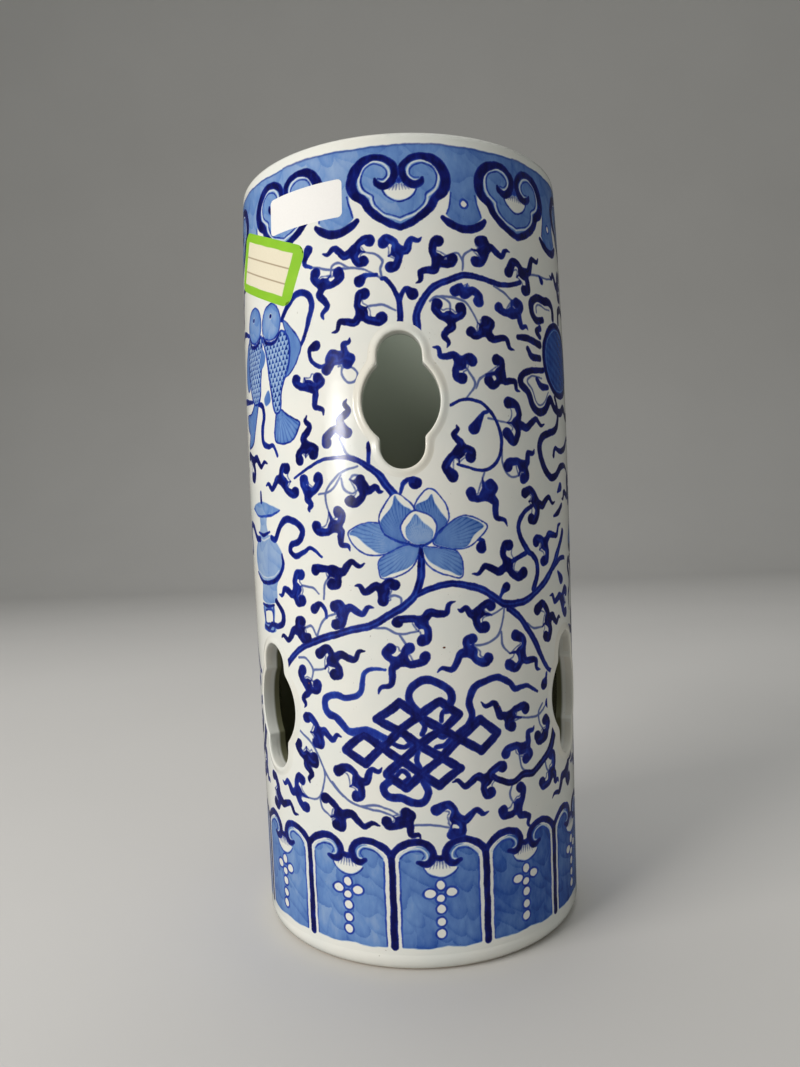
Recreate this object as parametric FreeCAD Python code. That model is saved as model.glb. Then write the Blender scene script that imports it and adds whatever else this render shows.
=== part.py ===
# Porcelain hat stand: a tall thrown cylinder, pierced by two rows of quatrefoil openings.
#
# Lengths are in millimetres. The origin is the centre of the foot circle and +Z is up.
# -Y is the front, where an upper opening faces the viewer. Azimuths are in degrees,
# from -Y towards +X.
import FreeCAD
import Part
import math
import os

# Thrown cylinder: the outer face is one cubic curve from the foot to the neck. Its four
# control radii are evenly spaced in height, so the radius is a cubic in z.
HEIGHT = 280.0
FOOT_TOP_Z = 6.0
NECK_Z = 278.0
CONTROL_RADII = (61.45, 62.4, 65.8, 61.8)
FOOT_TOP_RADIUS = CONTROL_RADII[0]
WALL = 6.0
RIM_ROUND = 2.0

# Foot: the outer edge curls under to a flat unglazed ring
FOOT_FACE_RADIUS = 58.4
FOOT_CURL_BULGE = 0.7071

# Floor disc, luted inside the foot and set up from the ground
FLOOR_UNDERSIDE_Z = 3.5
FLOOR_THICKNESS = 7.0
FLOOR_EDGE_CHAMFER = 1.0
INNER_FOOT_RADIUS = FOOT_TOP_RADIUS - WALL
INNER_EASE_Z = 16.0

# Quatrefoil opening: round lobes at top and bottom, wide shallow lobes at the sides
OPENING_HALF_HEIGHT = 22.75
OPENING_HALF_WIDTH = 13.2
END_LOBE_RADIUS = 7.6
CUSP_HEIGHT = 12.2
CUSP_SOFTENING = 1.2

# Raised lip, a strip of clay luted round each opening and wiped soft
LIP_WIDTH = 3.2
LIP_PROUD = 1.0
LIP_OUTER_ROUND = 0.8
LIP_INNER_ROUND = 0.9

# Rows of openings: height of the centre, and the azimuths where they were cut by hand
UPPER_ROW_Z = 191.4
LOWER_ROW_Z = 86.0
OPENINGS = {
    "upper_front": (0.0, UPPER_ROW_Z),
    "upper_right": (120.0, UPPER_ROW_Z),
    "upper_left": (-120.0, UPPER_ROW_Z),
    "lower_right": (64.0, LOWER_ROW_Z),
    "lower_left": (-54.0, LOWER_ROW_Z),
    "lower_back": (185.0, LOWER_ROW_Z),
}

# Paper stickers on the upper left: azimuth and height of the centre, length, width,
# corner radius and tilt in degrees
PAPER = 0.25
STICKERS = {
    "white_label": (-30.3, 259.8, 31.0, 12.7, 1.6, 0.0),
    "green_label": (-50.1, 244.2, 41.0, 21.0, 4.0, -23.0),
}

# Length of the bars that cut an opening or a sticker, and how close counts as the same place
REACH = 30.0
SAME = 1e-4
ON_OUTLINE = 1e-3
ON_CREST = 0.05
UP = FreeCAD.Vector(0, 0, 1)
ORIGIN = FreeCAD.Vector(0, 0, 0)


def profile_point(radius, z):
    """A point of the turned profile, drawn in the XZ plane."""
    return FreeCAD.Vector(radius, 0, z)


def arc_edge(start, middle, end):
    return Part.Arc(start, middle, end).toShape()


def outward(azimuth):
    """The unit vector that points out of the wall at this azimuth."""
    angle = math.radians(azimuth)
    return FreeCAD.Vector(math.sin(angle), -math.cos(angle), 0)


def face_curve(grow):
    """The swelling face moved outwards by grow, as one curve in the XZ plane."""
    rise = (NECK_Z - FOOT_TOP_Z) / 3
    poles = [profile_point(radius + grow, FOOT_TOP_Z + rise * step)
             for step, radius in enumerate(CONTROL_RADII)]
    curve = Part.BezierCurve()
    curve.setPoles(poles)
    return curve


def face_edge(grow, low_z=FOOT_TOP_Z):
    """The part of the face curve from low_z up to the neck."""
    start = (low_z - FOOT_TOP_Z) / (NECK_Z - FOOT_TOP_Z)
    return face_curve(grow).toShape(start, 1.0)


def face_radius(z):
    """The radius of the outer face at height z."""
    place = (z - FOOT_TOP_Z) / (NECK_Z - FOOT_TOP_Z)
    return face_curve(0.0).value(place).x


def turned(edges):
    """A solid of revolution about the Z axis from a closed run of edges."""
    profile = Part.Face(Part.Wire(edges))
    return profile.revolve(ORIGIN, UP, 360)


def quatrefoil(grow):
    """The outline of an opening, widened by grow, in a plane with x across and y up."""
    flank = END_LOBE_RADIUS + grow
    lobe_centre = OPENING_HALF_HEIGHT - END_LOBE_RADIUS
    bulge = OPENING_HALF_WIDTH - END_LOBE_RADIUS
    side_radius = (CUSP_HEIGHT ** 2 + bulge ** 2) / (2 * bulge)
    side_centre = side_radius - OPENING_HALF_WIDTH
    side_radius += grow
    cusp = math.sqrt(side_radius ** 2 - (flank + side_centre) ** 2)
    widest = side_radius - side_centre
    tip = lobe_centre + flank

    def point(x, y):
        return FreeCAD.Vector(x, y, 0)

    return Part.Wire([
        arc_edge(point(flank, -cusp), point(widest, 0), point(flank, cusp)),
        Part.makeLine(point(flank, cusp), point(flank, lobe_centre)),
        arc_edge(point(flank, lobe_centre), point(0, tip), point(-flank, lobe_centre)),
        Part.makeLine(point(-flank, lobe_centre), point(-flank, cusp)),
        arc_edge(point(-flank, cusp), point(-widest, 0), point(-flank, -cusp)),
        Part.makeLine(point(-flank, -cusp), point(-flank, -lobe_centre)),
        arc_edge(point(-flank, -lobe_centre), point(0, -tip), point(flank, -lobe_centre)),
        Part.makeLine(point(flank, -lobe_centre), point(flank, -cusp)),
    ]), (flank, cusp)


def soften_cusps(prism, flank, cusp, radius):
    """Rounds the four edges where the side lobes meet the end lobes."""
    cusps = []
    for edge in prism.Edges:
        middle = edge.CenterOfMass
        on_flank = abs(abs(middle.x) - flank) < SAME
        at_cusp = abs(abs(middle.y) - cusp) < SAME
        runs_through = abs(edge.Length - REACH) < SAME
        if on_flank and at_cusp and runs_through:
            cusps.append(edge)
    return prism.makeFillet(radius, cusps)


def set_on_wall(shape, azimuth, z, tilt=0.0):
    """Stands a shape drawn in plan on the wall, its plan normal pointing outwards."""
    out = outward(azimuth)
    across = FreeCAD.Vector(-out.y, out.x, 0)
    upright = FreeCAD.Matrix(
        across.x, 0, out.x, out.x * FOOT_TOP_RADIUS,
        across.y, 0, out.y, out.y * FOOT_TOP_RADIUS,
        0, 1, 0, z,
        0, 0, 0, 1,
    )
    placed = shape.copy()
    placed.rotate(ORIGIN, UP, tilt)
    placed.Placement = FreeCAD.Placement(upright).multiply(placed.Placement)
    return placed


def opening_prism(grow, azimuth, z):
    """A quatrefoil bar that runs straight through the wall at one opening."""
    outline, (flank, cusp) = quatrefoil(grow)
    bar = Part.Face(outline).extrude(UP * REACH)
    bar = soften_cusps(bar, flank, cusp, CUSP_SOFTENING)
    bar.translate(UP * (-REACH / 2))
    return set_on_wall(bar, azimuth, z)


def make_wall():
    """The thrown cylinder with its rolled rim and curled foot, pierced by six openings."""
    foot_curl = FOOT_TOP_RADIUS - FOOT_FACE_RADIUS
    outer = face_edge(0.0)
    inner = face_edge(-WALL, INNER_EASE_Z)
    outer_neck = outer.Vertexes[-1].Point
    inner_start = inner.Vertexes[0].Point
    inner_neck = inner.Vertexes[-1].Point
    rim_turn = RIM_ROUND * math.sin(math.pi / 4)
    curl_middle = profile_point(
        FOOT_FACE_RADIUS + foot_curl * FOOT_CURL_BULGE,
        FOOT_TOP_Z * (1 - FOOT_CURL_BULGE),
    )
    outer_rim_end = profile_point(outer_neck.x - RIM_ROUND, HEIGHT)
    inner_rim_end = profile_point(inner_neck.x + RIM_ROUND, HEIGHT)
    outer_rim_middle = outer_rim_end + FreeCAD.Vector(rim_turn, 0, rim_turn - RIM_ROUND)
    inner_rim_middle = inner_rim_end + FreeCAD.Vector(-rim_turn, 0, rim_turn - RIM_ROUND)
    foot_inner = profile_point(INNER_FOOT_RADIUS, 0)
    foot_outer = profile_point(FOOT_FACE_RADIUS, 0)
    straight_top = profile_point(INNER_FOOT_RADIUS, FLOOR_UNDERSIDE_Z + FLOOR_THICKNESS)
    wall = turned([
        Part.makeLine(foot_inner, foot_outer),
        arc_edge(foot_outer, curl_middle, outer.Vertexes[0].Point),
        outer,
        arc_edge(outer_neck, outer_rim_middle, outer_rim_end),
        Part.makeLine(outer_rim_end, inner_rim_end),
        arc_edge(inner_rim_end, inner_rim_middle, inner_neck),
        inner,
        Part.makeLine(inner_start, straight_top),
        Part.makeLine(straight_top, foot_inner),
    ])
    for azimuth, z in OPENINGS.values():
        wall = wall.cut(opening_prism(0.0, azimuth, z))
    return wall


def make_base_slab():
    """The floor disc: its side meets the inside of the foot, its upper edge is eased."""
    slab = Part.makeCylinder(INNER_FOOT_RADIUS, FLOOR_THICKNESS,
                             FreeCAD.Vector(0, 0, FLOOR_UNDERSIDE_Z))
    lower_edges = [edge for edge in slab.Edges
                   if abs(edge.CenterOfMass.z - FLOOR_UNDERSIDE_Z) < SAME
                   and edge.Length > INNER_FOOT_RADIUS]
    return slab.makeChamfer(FLOOR_EDGE_CHAMFER, lower_edges)


def skin_on_wall(thickness):
    """A thin turned shell that lies on the outer face of the wall."""
    under = face_edge(0.0)
    over = face_edge(thickness)
    return turned([
        under,
        Part.makeLine(under.Vertexes[-1].Point, over.Vertexes[-1].Point),
        over,
        Part.makeLine(over.Vertexes[0].Point, under.Vertexes[0].Point),
    ])


def make_lip(azimuth, z):
    """One raised lip: a band of the skin round an opening, rounded on both edges."""
    band = skin_on_wall(LIP_PROUD).common(opening_prism(LIP_WIDTH, azimuth, z))
    lip = band.cut(opening_prism(0.0, azimuth, z))
    out = outward(azimuth)
    for grow, rounding in ((LIP_WIDTH, LIP_OUTER_ROUND), (0.0, LIP_INNER_ROUND)):
        lip = lip.makeFillet(rounding, crest_edges(lip, azimuth, z, out, grow))
    return lip


def crest_edges(lip, azimuth, z, out, grow):
    """The edges of the lip's top face that follow the outline widened by grow."""
    bar = opening_prism(grow, azimuth, z)
    found = []
    for edge in lip.Edges:
        middle = edge.valueAt((edge.FirstParameter + edge.LastParameter) / 2)
        proud = math.hypot(middle.x, middle.y) - face_radius(middle.z)
        on_outline = bar.distToShape(Part.Vertex(middle))[0] < ON_OUTLINE
        inside = bar.isInside(middle, ON_OUTLINE, False)
        if proud > LIP_PROUD - ON_CREST and on_outline and not inside:
            found.append(edge)
    return found


def make_sticker(azimuth, z, length, width, corner, tilt):
    """A paper sticker with rounded corners, pressed flat on the wall."""
    plan = Part.makeBox(length, width, REACH,
                        FreeCAD.Vector(-length / 2, -width / 2, -REACH / 2))
    uprights = [edge for edge in plan.Edges if abs(edge.Length - REACH) < SAME]
    plan = plan.makeFillet(corner, uprights)
    return skin_on_wall(PAPER).common(set_on_wall(plan, azimuth, z, tilt))


def save(node, shape):
    solids = shape.Solids
    if len(solids) != 1 or not solids[0].isValid():
        raise ValueError(f"{node} is not one valid solid")
    solids[0].exportStep(f"parts/{node}.step")
    print(f"{node}: {solids[0].Volume / 1000:.2f} cm3, {len(solids[0].Faces)} faces")


def main():
    os.makedirs("parts", exist_ok=True)
    save("wall", make_wall())
    save("base_slab", make_base_slab())
    for place, (azimuth, z) in OPENINGS.items():
        save(f"opening_lip_{place}", make_lip(azimuth, z))
    for node, measures in STICKERS.items():
        save(node, make_sticker(*measures))


main()
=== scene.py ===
# Porcelain hat stand: the glaze, the cobalt painting and the paper stickers.
#
# Metres in the shared frame, but the painting is worked out in millimetres on the wall laid
# flat: s runs round the wall (63 mm for each radian, from the front towards +X), z is height.
import math
import bpy
import numpy as np
from mathutils import Matrix, Vector


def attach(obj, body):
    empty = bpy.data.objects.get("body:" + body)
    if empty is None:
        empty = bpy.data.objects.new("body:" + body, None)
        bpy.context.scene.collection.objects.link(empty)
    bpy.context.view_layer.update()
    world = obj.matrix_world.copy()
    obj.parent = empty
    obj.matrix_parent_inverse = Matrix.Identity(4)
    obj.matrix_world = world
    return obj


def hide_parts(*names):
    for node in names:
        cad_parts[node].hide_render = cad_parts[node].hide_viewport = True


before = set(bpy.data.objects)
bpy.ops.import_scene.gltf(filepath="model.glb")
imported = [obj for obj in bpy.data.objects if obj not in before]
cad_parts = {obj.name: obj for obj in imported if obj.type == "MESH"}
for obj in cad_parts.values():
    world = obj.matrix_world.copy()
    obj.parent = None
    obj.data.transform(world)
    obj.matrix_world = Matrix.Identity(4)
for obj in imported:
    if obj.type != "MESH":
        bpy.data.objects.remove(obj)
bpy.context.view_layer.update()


# The wall laid flat, and how much of its height is painted
PAINT_RADIUS = 63.0
GIRTH = 2 * math.pi * PAINT_RADIUS
PAINT_LOW = 6.5
PAINT_HIGH = 277.5

# The depth of a place far outside every stroke
FAR = -3.0

# How many points of a brush line are worked out together
RUN = 14


def wobble(s, z, seed):
    """A slow waver of the hand, in millimetres, the same wherever the strips meet."""
    turn = 2 * math.pi / GIRTH
    a = np.sin(turn * 23 * s + 0.31 * z + seed) * np.sin(0.23 * z - turn * 11 * s + 2 * seed)
    b = np.sin(turn * 61 * s - 0.52 * z + 3 * seed) * np.sin(0.71 * z + turn * 37 * s + seed)
    return 0.16 * a + 0.09 * b


class Strip:
    """A stretch of the wall laid flat, with the depths of cobalt painted on it."""

    def __init__(self, s_low, s_high, step):
        self.step = step
        self.s = np.linspace(s_low, s_high, int(round((s_high - s_low) / step)) + 1)
        self.z = np.linspace(PAINT_LOW, PAINT_HIGH, int(round((PAINT_HIGH - PAINT_LOW) / step)) + 1)
        flat_s, flat_z = np.meshgrid(self.s, self.z)
        self.at_s = flat_s + wobble(flat_s, flat_z, 1.0)
        self.at_z = flat_z + wobble(flat_s, flat_z, 2.3)
        self.ink = np.full(flat_s.shape, FAR)
        self.fine = np.full(flat_s.shape, FAR)
        self.wash = np.zeros(flat_s.shape)
        self.depth = np.full(flat_s.shape, 0.8)
        self.iron = np.full(flat_s.shape, FAR)

    def windows(self, box, margin):
        """The parts of the strip within a box, once for each way round the wall."""
        s_low, s_high, z_low, z_high = box
        row0 = max(0, int((z_low - margin - self.z[0]) / self.step))
        row1 = min(len(self.z), int((z_high + margin - self.z[0]) / self.step) + 2)
        for lap in (-GIRTH, 0.0, GIRTH):
            col0 = max(0, int((s_low + lap - margin - self.s[0]) / self.step))
            col1 = min(len(self.s), int((s_high + lap + margin - self.s[0]) / self.step) + 2)
            if row0 < row1 and col0 < col1:
                part = (slice(row0, row1), slice(col0, col1))
                yield part, self.at_s[part] - lap, self.at_z[part]

    def cover(self, field):
        """How much of each place a shape covers, with an edge one step soft."""
        return np.clip(field / self.step + 0.5, 0, 1)


def box_of(points):
    """The least and greatest s, then the least and greatest z."""
    x = [p[0] for p in points]
    y = [p[1] for p in points]
    return min(x), max(x), min(y), max(y)


def curve(points, spacing, closed=False):
    """Points close together on a smooth line through the given ones."""
    p = np.asarray(points, float)
    if closed:
        p = np.vstack([p[-1], p, p[0], p[1]])
    else:
        p = np.vstack([2 * p[0] - p[1], p, 2 * p[-1] - p[-2]])
    out = []
    for a, b, c, d in zip(p[:-3], p[1:-2], p[2:-1], p[3:]):
        count = max(2, int(math.hypot(*(c[:2] - b[:2])) / spacing) + 1)
        t = np.linspace(0, 1, count, endpoint=False)[:, None]
        out.append(0.5 * (2 * b + (c - a) * t + (2 * a - 5 * b + 4 * c - d) * t ** 2
                          + (3 * b - a - 3 * c + d) * t ** 3))
    if not closed:
        out.append(p[-2:-1])
    return np.vstack(out)


def with_radii(points, widths):
    """Adds a half width to each point; two widths are spread along the whole line."""
    p = np.asarray(points, float)
    if len(widths) != len(p):
        run = np.r_[0, np.cumsum(np.hypot(*np.diff(p, axis=0).T))]
        widths = np.interp(run / run[-1], np.linspace(0, 1, len(widths)), widths)
    return np.column_stack([p, np.asarray(widths, float) / 2])


def shifted(points, s0, z0=0.0):
    """The points moved along and up the flat wall."""
    return [(s0 + s, z0 + z) for s, z in points]


def both_sides(centre, points):
    """The points to the left of a centre line, then the same ones to its right."""
    return [[(centre + side * x, z) for x, z in points] for side in (-1, 1)]


def ring(s0, z0, radius, step):
    """Points round a circle, a number of degrees apart."""
    turns = [math.radians(a) for a in range(0, 360, step)]
    return [(s0 + radius * math.cos(a), z0 + radius * math.sin(a)) for a in turns]


def stretches(path):
    """Short lengths of a path and where each starts, so that only places near it are worked out."""
    for start in range(0, len(path), RUN):
        yield start, path[start:start + RUN + 1]


def discs(path, s, z):
    """How deep each place lies inside a row of discs (s, z, radius)."""
    reach = path[:, 2, None, None] - np.hypot(s[None] - path[:, 0, None, None],
                                              z[None] - path[:, 1, None, None])
    return reach.max(0)


def outline_depth(points, s, z):
    """Signed depth inside a closed outline, positive inside."""
    a = np.asarray(points, float)
    b = np.roll(a, -1, axis=0)
    near = np.full(s.shape, 1e9)
    inside = np.zeros(s.shape, bool)
    for (ax, ay), (bx, by) in zip(a, b):
        dx, dy = bx - ax, by - ay
        long2 = dx * dx + dy * dy + 1e-12
        t = np.clip(((s - ax) * dx + (z - ay) * dy) / long2, 0, 1)
        near = np.minimum(near, (s - ax - t * dx) ** 2 + (z - ay - t * dy) ** 2)
        if ay != by:
            inside ^= ((ay > z) != (by > z)) & (s < dx * (z - ay) / dy + ax)
    return np.where(inside, 1, -1) * np.sqrt(near)


def lay(strip, part, field, depth, layer="ink"):
    """Lays brushed cobalt where the field is positive."""
    target = getattr(strip, layer)
    old = target[part]
    if layer == "ink":
        here = field > old
        strip.depth[part] = np.where(here & (field > -0.8), depth, strip.depth[part])
    target[part] = np.maximum(old, field)


def brush(strip, points, widths, depth=0.8, layer="ink", closed=False):
    """A brush line through the points; depth may run from one value to another."""
    path = curve(with_radii(points, widths), 0.3, closed)
    ends = depth if np.ndim(depth) else (depth, depth)
    depths = np.interp(np.linspace(0, 1, len(path)), (0, 1), ends)
    for start, piece in stretches(path):
        for part, s, z in strip.windows(box_of(piece), 2.6):
            lay(strip, part, discs(piece, s, z), depths[start], layer)


def lighten(strip, points, widths, tone):
    """A streak where the loaded brush ran drier, so the blue under it shows."""
    path = curve(with_radii(points, widths), 0.4)
    for part, s, z in strip.windows(box_of(path), 1.5):
        mask = np.clip(discs(path, s, z) / 0.5 + 0.5, 0, 1)
        strip.depth[part] = strip.depth[part] * (1 - mask) + tone * mask


def thin(strip, points, width=0.7):
    """A fine line, drawn with the tip of the brush."""
    brush(strip, points, (width * 0.9, width, width * 0.7), layer="fine")


def ball(strip, s, z, radius, depth=0.9):
    """A round dab of cobalt."""
    for part, ps, pz in strip.windows((s, s, z, z), radius + 2):
        lay(strip, part, radius - np.hypot(ps - s, pz - z), depth)


def wipe(strip, part, field, amount):
    """Gives the inside of a shape a wash, and takes the strokes off it."""
    mask = strip.cover(field)
    strip.wash[part] = strip.wash[part] * (1 - mask) + amount * mask
    strip.ink[part] = np.minimum(strip.ink[part], -field)
    strip.fine[part] = np.minimum(strip.fine[part], -field)


def fill(strip, points, wash, smooth=True):
    """Floods a closed outline with a thin wash; wash may be a function of place."""
    edge = curve(points, 0.9, True) if smooth else np.asarray(points, float)
    for part, s, z in strip.windows(box_of(edge), 1):
        field = outline_depth(edge, s, z)
        wipe(strip, part, field, wash(s, z, field) if callable(wash) else wash)


def bare(strip, points, widths=None, closed=False, tint=0.0):
    """Leaves the porcelain bare along a line, or inside an outline if no widths are given."""
    if widths is None:
        fill(strip, points, tint)
        return
    for _, piece in stretches(curve(with_radii(points, widths), 0.3, closed)):
        for part, s, z in strip.windows(box_of(piece), 1.5):
            wipe(strip, part, discs(piece, s, z), tint)


def blend_fields(a, b, soft):
    """The union of two shapes with the corner between them filled."""
    h = np.clip(0.5 + 0.5 * (a - b) / soft, 0, 1)
    return b + (a - b) * h + soft * h * (1 - h) * 0.5


# How close a tendril ends to a leaf that grows from it
STEM_REACH = 4.2


def stem_end(place):
    """The end of the nearest tendril, if there is one close by."""
    ends = np.array([points[k] for points in TENDRILS for k in (0, -1)])
    away = np.hypot(*(ends - place).T)
    return ends[away.argmin()] if away.min() < STEM_REACH else place


def leaf(strip, joint, tip, lobes, depth, turn=1, stem=None):
    """A scrolling leaf: fat lobes that curl back to the stem, and a wavy tapering tail."""
    j = np.array(joint)
    heart = np.mean([lobe[0] for lobe in lobes], axis=0)
    along = np.array(tip) - j if tip is not None else 3.0 * (j - heart)
    length = math.hypot(*along)
    forward = along / length
    if stem is None:
        stem = j - 4.4 * forward
    parts = [((stem, 0.5 * (stem + j), j, j + 0.6 * forward), (0.2, 1.0, 3.2, 3.1))]
    light = []
    if tip is not None:
        sway = turn * min(1.5, length * 0.13) * np.array([-forward[1], forward[0]])
        tail = (j, j + 0.16 * along + 0.5 * sway, j + 0.32 * along + 0.9 * sway,
                j + 0.5 * along - 0.3 * sway, j + 0.66 * along - 1.0 * sway,
                j + 0.84 * along + 0.3 * sway, tip)
        parts.append((tail, (3.2, 2.8, 2.4, 2.0, 1.6, 1.1, 0.1)))
        streak = (j + 0.2 * along + sway, j + 0.34 * along + 1.2 * sway, j + 0.5 * along)
        light.append((streak, (0.3, 0.8, 0.4)))
    for lobe in lobes:
        first = np.array(lobe[0])
        toward = first - j
        reach = math.hypot(*toward)
        middle = j + 0.5 * toward + forward * min(1.4, 0.22 * reach)
        rest = list(lobe)
        if len(lobe) == 1 and reach > 3.0:
            rest.append(first - 1.9 * forward - 0.5 * toward / reach)
        parts.append(((j, middle, *rest), [2.7, 2.2] + [2.5] * (len(rest) - 1) + [3.5]))
        end = np.array(rest[-1])
        sideways = end - j - np.dot(end - j, forward) * forward
        thin(strip, (stem, j - 2.5 * forward + 0.24 * sideways, j - 1.9 * forward + 0.5 * sideways,
                     j - 2.5 * forward + 0.74 * sideways, end - 1.1 * forward), 0.4)
        light.append(((j - 0.7 * forward + 0.1 * toward, middle - 0.6 * forward, first - 0.5 * forward),
                      (0.5, 1.0, 0.7)))
    paths = [curve(with_radii(points, widths), 0.4) for points, widths in parts]
    for part, s, z in strip.windows(box_of(np.vstack(paths)), 2.6):
        field = discs(paths[0], s, z)
        for path in paths[1:]:
            field = blend_fields(field, discs(path, s, z), 1.5)
        lay(strip, part, field, depth)
    dry = 0.06 + 0.2 * (0.5 + 0.5 * math.sin(7 * j[0] + 3 * j[1]))
    for points, widths in light:
        lighten(strip, points, widths, depth - dry)


# Leaves in sight: joint, tip of the tail if it has one, then the points of each lobe
LEAVES = (
    ((-20.3, 64.1), (-11.3, 69.3), ((-24.1, 68.8), (-27.4, 67.4)), ((-19.1, 59.7),)),
    ((-5.3, 51.5), (1.1, 45.6), ((-1.8, 53.2),), ((-9.4, 49.7),)),
    ((12.9, 51.8), (25.1, 52.4), ((10.6, 56.5), (6.8, 55.0)), ((15.3, 46.8), (11.9, 46.5))),
    ((-28.0, 52.4), (-12.9, 49.7), ((-32.1, 57.1),), ((-27.1, 47.9),)),
    ((25.1, 63.2), (12.6, 63.8), ((29.5, 67.2),), ((24.5, 58.2),)),
    ((-35.4, 79.4), (-25.6, 79.1), ((-38.5, 84.7),), ((-34.2, 75.6),)),
    ((-40.9, 70.6), (-40.1, 61.5), ((-45.4, 72.9),), ((-37.1, 68.5),)),
    ((-47.1, 57.1), (-57.1, 58.8), ((-46.2, 62.4),), ((-44.5, 52.1),)),
    ((-61.5, 52.9), (-47.7, 48.5), ((-63.3, 58.8),), ((-62.4, 48.2),)),
    ((35.1, 83.5), (23.6, 89.8), ((40.6, 86.2),), ((33.9, 80.3),)),
    ((39.8, 71.5), (46.2, 78.2), ((33.6, 72.4),), ((43.6, 68.8),)),
    ((52.1, 74.1), None, ((53.9, 78.2),), ((48.6, 72.4),)),
    ((37.4, 52.4), (43.3, 43.5), ((40.0, 57.1),), ((31.5, 50.0),)),
    ((55.6, 59.4), (61.2, 54.7), ((57.4, 65.3),), ((50.9, 55.9),)),
    ((69.2, 56.5), (56.2, 50.0), ((73.0, 61.0),), ((70.5, 52.0),)),
    ((-23.2, 121.1), (-11.8, 123.2), ((-23.8, 124.4),), ((-23.6, 117.5),)),
    ((-7.9, 128.3), (-17.8, 130.5), ((-6.0, 131.4),), ((-8.5, 125.4),)),
    ((3.8, 117.7), (15.6, 124.0), ((-2.6, 119.1),), ((5.9, 112.1),)),
    ((-2.4, 105.4), (-11.2, 94.4), ((-8.2, 108.0),), ((4.1, 104.8),), ((-1.5, 108.5),)),
    ((-28.0, 105.0), (-15.3, 108.4), ((-29.8, 109.2), (-32.7, 107.4)), ((-25.0, 100.4),)),
    ((21.0, 107.0), (8.9, 100.9), ((19.2, 110.9),), ((25.4, 103.0),)),
    ((23.6, 119.8), (16.5, 121.4), ((26.8, 122.7),), ((23.9, 114.8),)),
    ((-25.9, 135.6), (-14.4, 138.0), ((-31.5, 136.4),), ((-24.4, 131.2),)),
    ((-41.5, 129.2), (-52.1, 127.1), ((-41.5, 134.5),), ((-41.5, 124.5),)),
    ((-40.9, 114.2), (-52.1, 111.5), ((-42.1, 118.0),), ((-39.5, 111.5),)),
    ((-38.9, 96.2), (-41.2, 88.0), ((-42.1, 99.5),), ((-34.5, 94.5),)),
    ((40.4, 105.1), (50.1, 97.4), ((41.5, 109.2), (38.0, 110.9)), ((38.0, 99.8), (35.1, 101.2))),
    ((55.6, 114.5), (65.6, 113.9), ((52.7, 120.4), (49.2, 118.6)), ((56.2, 108.0),)),
    ((68.6, 119.8), (57.4, 123.0), ((71.0, 124.0),), ((70.0, 115.5),)),
    ((36.0, 135.5), (21.8, 133.0), ((34.5, 142.0),), ((39.8, 130.9), (42.7, 132.3))),
    ((-13.8, 163.4), (-7.1, 161.6), ((-14.4, 165.4),), ((-16.5, 158.0),)),
    ((-24.7, 150.7), (-19.1, 142.2), ((-21.5, 154.1),), ((-30.9, 149.2),)),
    ((18.5, 173.5), (18.1, 182.5), ((14.1, 168.9), (16.2, 165.7)), ((23.0, 173.9),)),
    ((-20.5, 183.0), (-18.2, 192.5), ((-26.2, 180.4),), ((-18.5, 181.5),)),
    ((-45.9, 166.6), (-58.0, 166.3), ((-46.5, 172.0),), ((-42.1, 162.5),)),
    ((-34.5, 177.8), (-33.9, 188.7), ((-38.0, 175.4),), ((-30.9, 177.2),)),
    ((-34.2, 162.5), (-34.2, 156.0), ((-29.8, 165.7),), ((-36.5, 165.4),)),
    ((-70.4, 176.0), (-56.2, 174.2), ((-74.5, 178.4),), ((-69.5, 169.5),)),
    ((43.3, 168.9), (50.1, 174.8), ((38.0, 170.2),), ((45.6, 165.4),)),
    ((27.4, 159.5), (35.9, 148.4), ((23.0, 158.4),), ((31.2, 161.3),)),
    ((49.8, 156.6), (63.0, 156.6), ((47.4, 160.7), (44.5, 159.5)), ((49.2, 150.1),)),
    ((54.5, 141.3), (68.0, 148.4), ((50.9, 143.6),), ((55.6, 136.0),)),
    ((41.5, 183.5), (57.1, 184.2), ((41.5, 189.9), (38.0, 190.5)), ((40.0, 177.2), (37.1, 180.1))),
    ((-11.8, 220.8), (-22.4, 215.2), ((-12.4, 226.5),), ((-6.5, 217.5),)),
    ((-20.1, 206.2), (-16.3, 212.8), ((-22.9, 205.0), (-25.1, 203.4)), ((-15.9, 206.2),), ((-23.0, 208.3),)),
    ((17.1, 218.4), (15.9, 208.4), ((12.4, 220.8),), ((21.3, 219.5),)),
    ((20.6, 202.8), (11.2, 208.4), ((18.8, 198.7),), ((23.3, 205.2),)),
    ((-32.7, 198.7), (-26.8, 188.4), ((-37.4, 199.9),), ((-27.3, 199.3),)),
    ((29.5, 214.9), (42.1, 208.7), ((32.4, 216.9),), ((26.0, 212.4),)),
    ((41.5, 221.4), (49.5, 216.4), ((45.9, 224.3),), ((37.0, 221.6),)),
    ((35.1, 200.5), (43.9, 194.6), ((35.6, 204.2),), ((32.0, 196.0),)),
    ((-13.5, 241.4), (-25.0, 242.0), ((-10.0, 244.8),), ((-12.4, 237.3),)),
    ((0.6, 240.2), (8.8, 244.4), ((-2.4, 244.4),), ((0.0, 235.3),)),
    ((14.1, 237.3), (6.5, 229.4), ((12.8, 242.6),), ((18.2, 236.1),)),
    ((-25.3, 232.0), (-25.6, 220.2), ((-28.8, 234.4),), ((-19.1, 233.2),)),
    ((30.4, 240.8), (41.8, 242.3), ((31.2, 244.8),), ((29.3, 237.2),)),
    ((47.4, 236.1), (58.0, 243.2), ((43.3, 239.1), (40.9, 235.5)), ((50.4, 230.8),)),
    ((22.9, 226.4), None, ((21.2, 228.3), (19.6, 227.0)), ((25.6, 227.4), (27.9, 226.2), (27.9, 223.9))),
)

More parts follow.
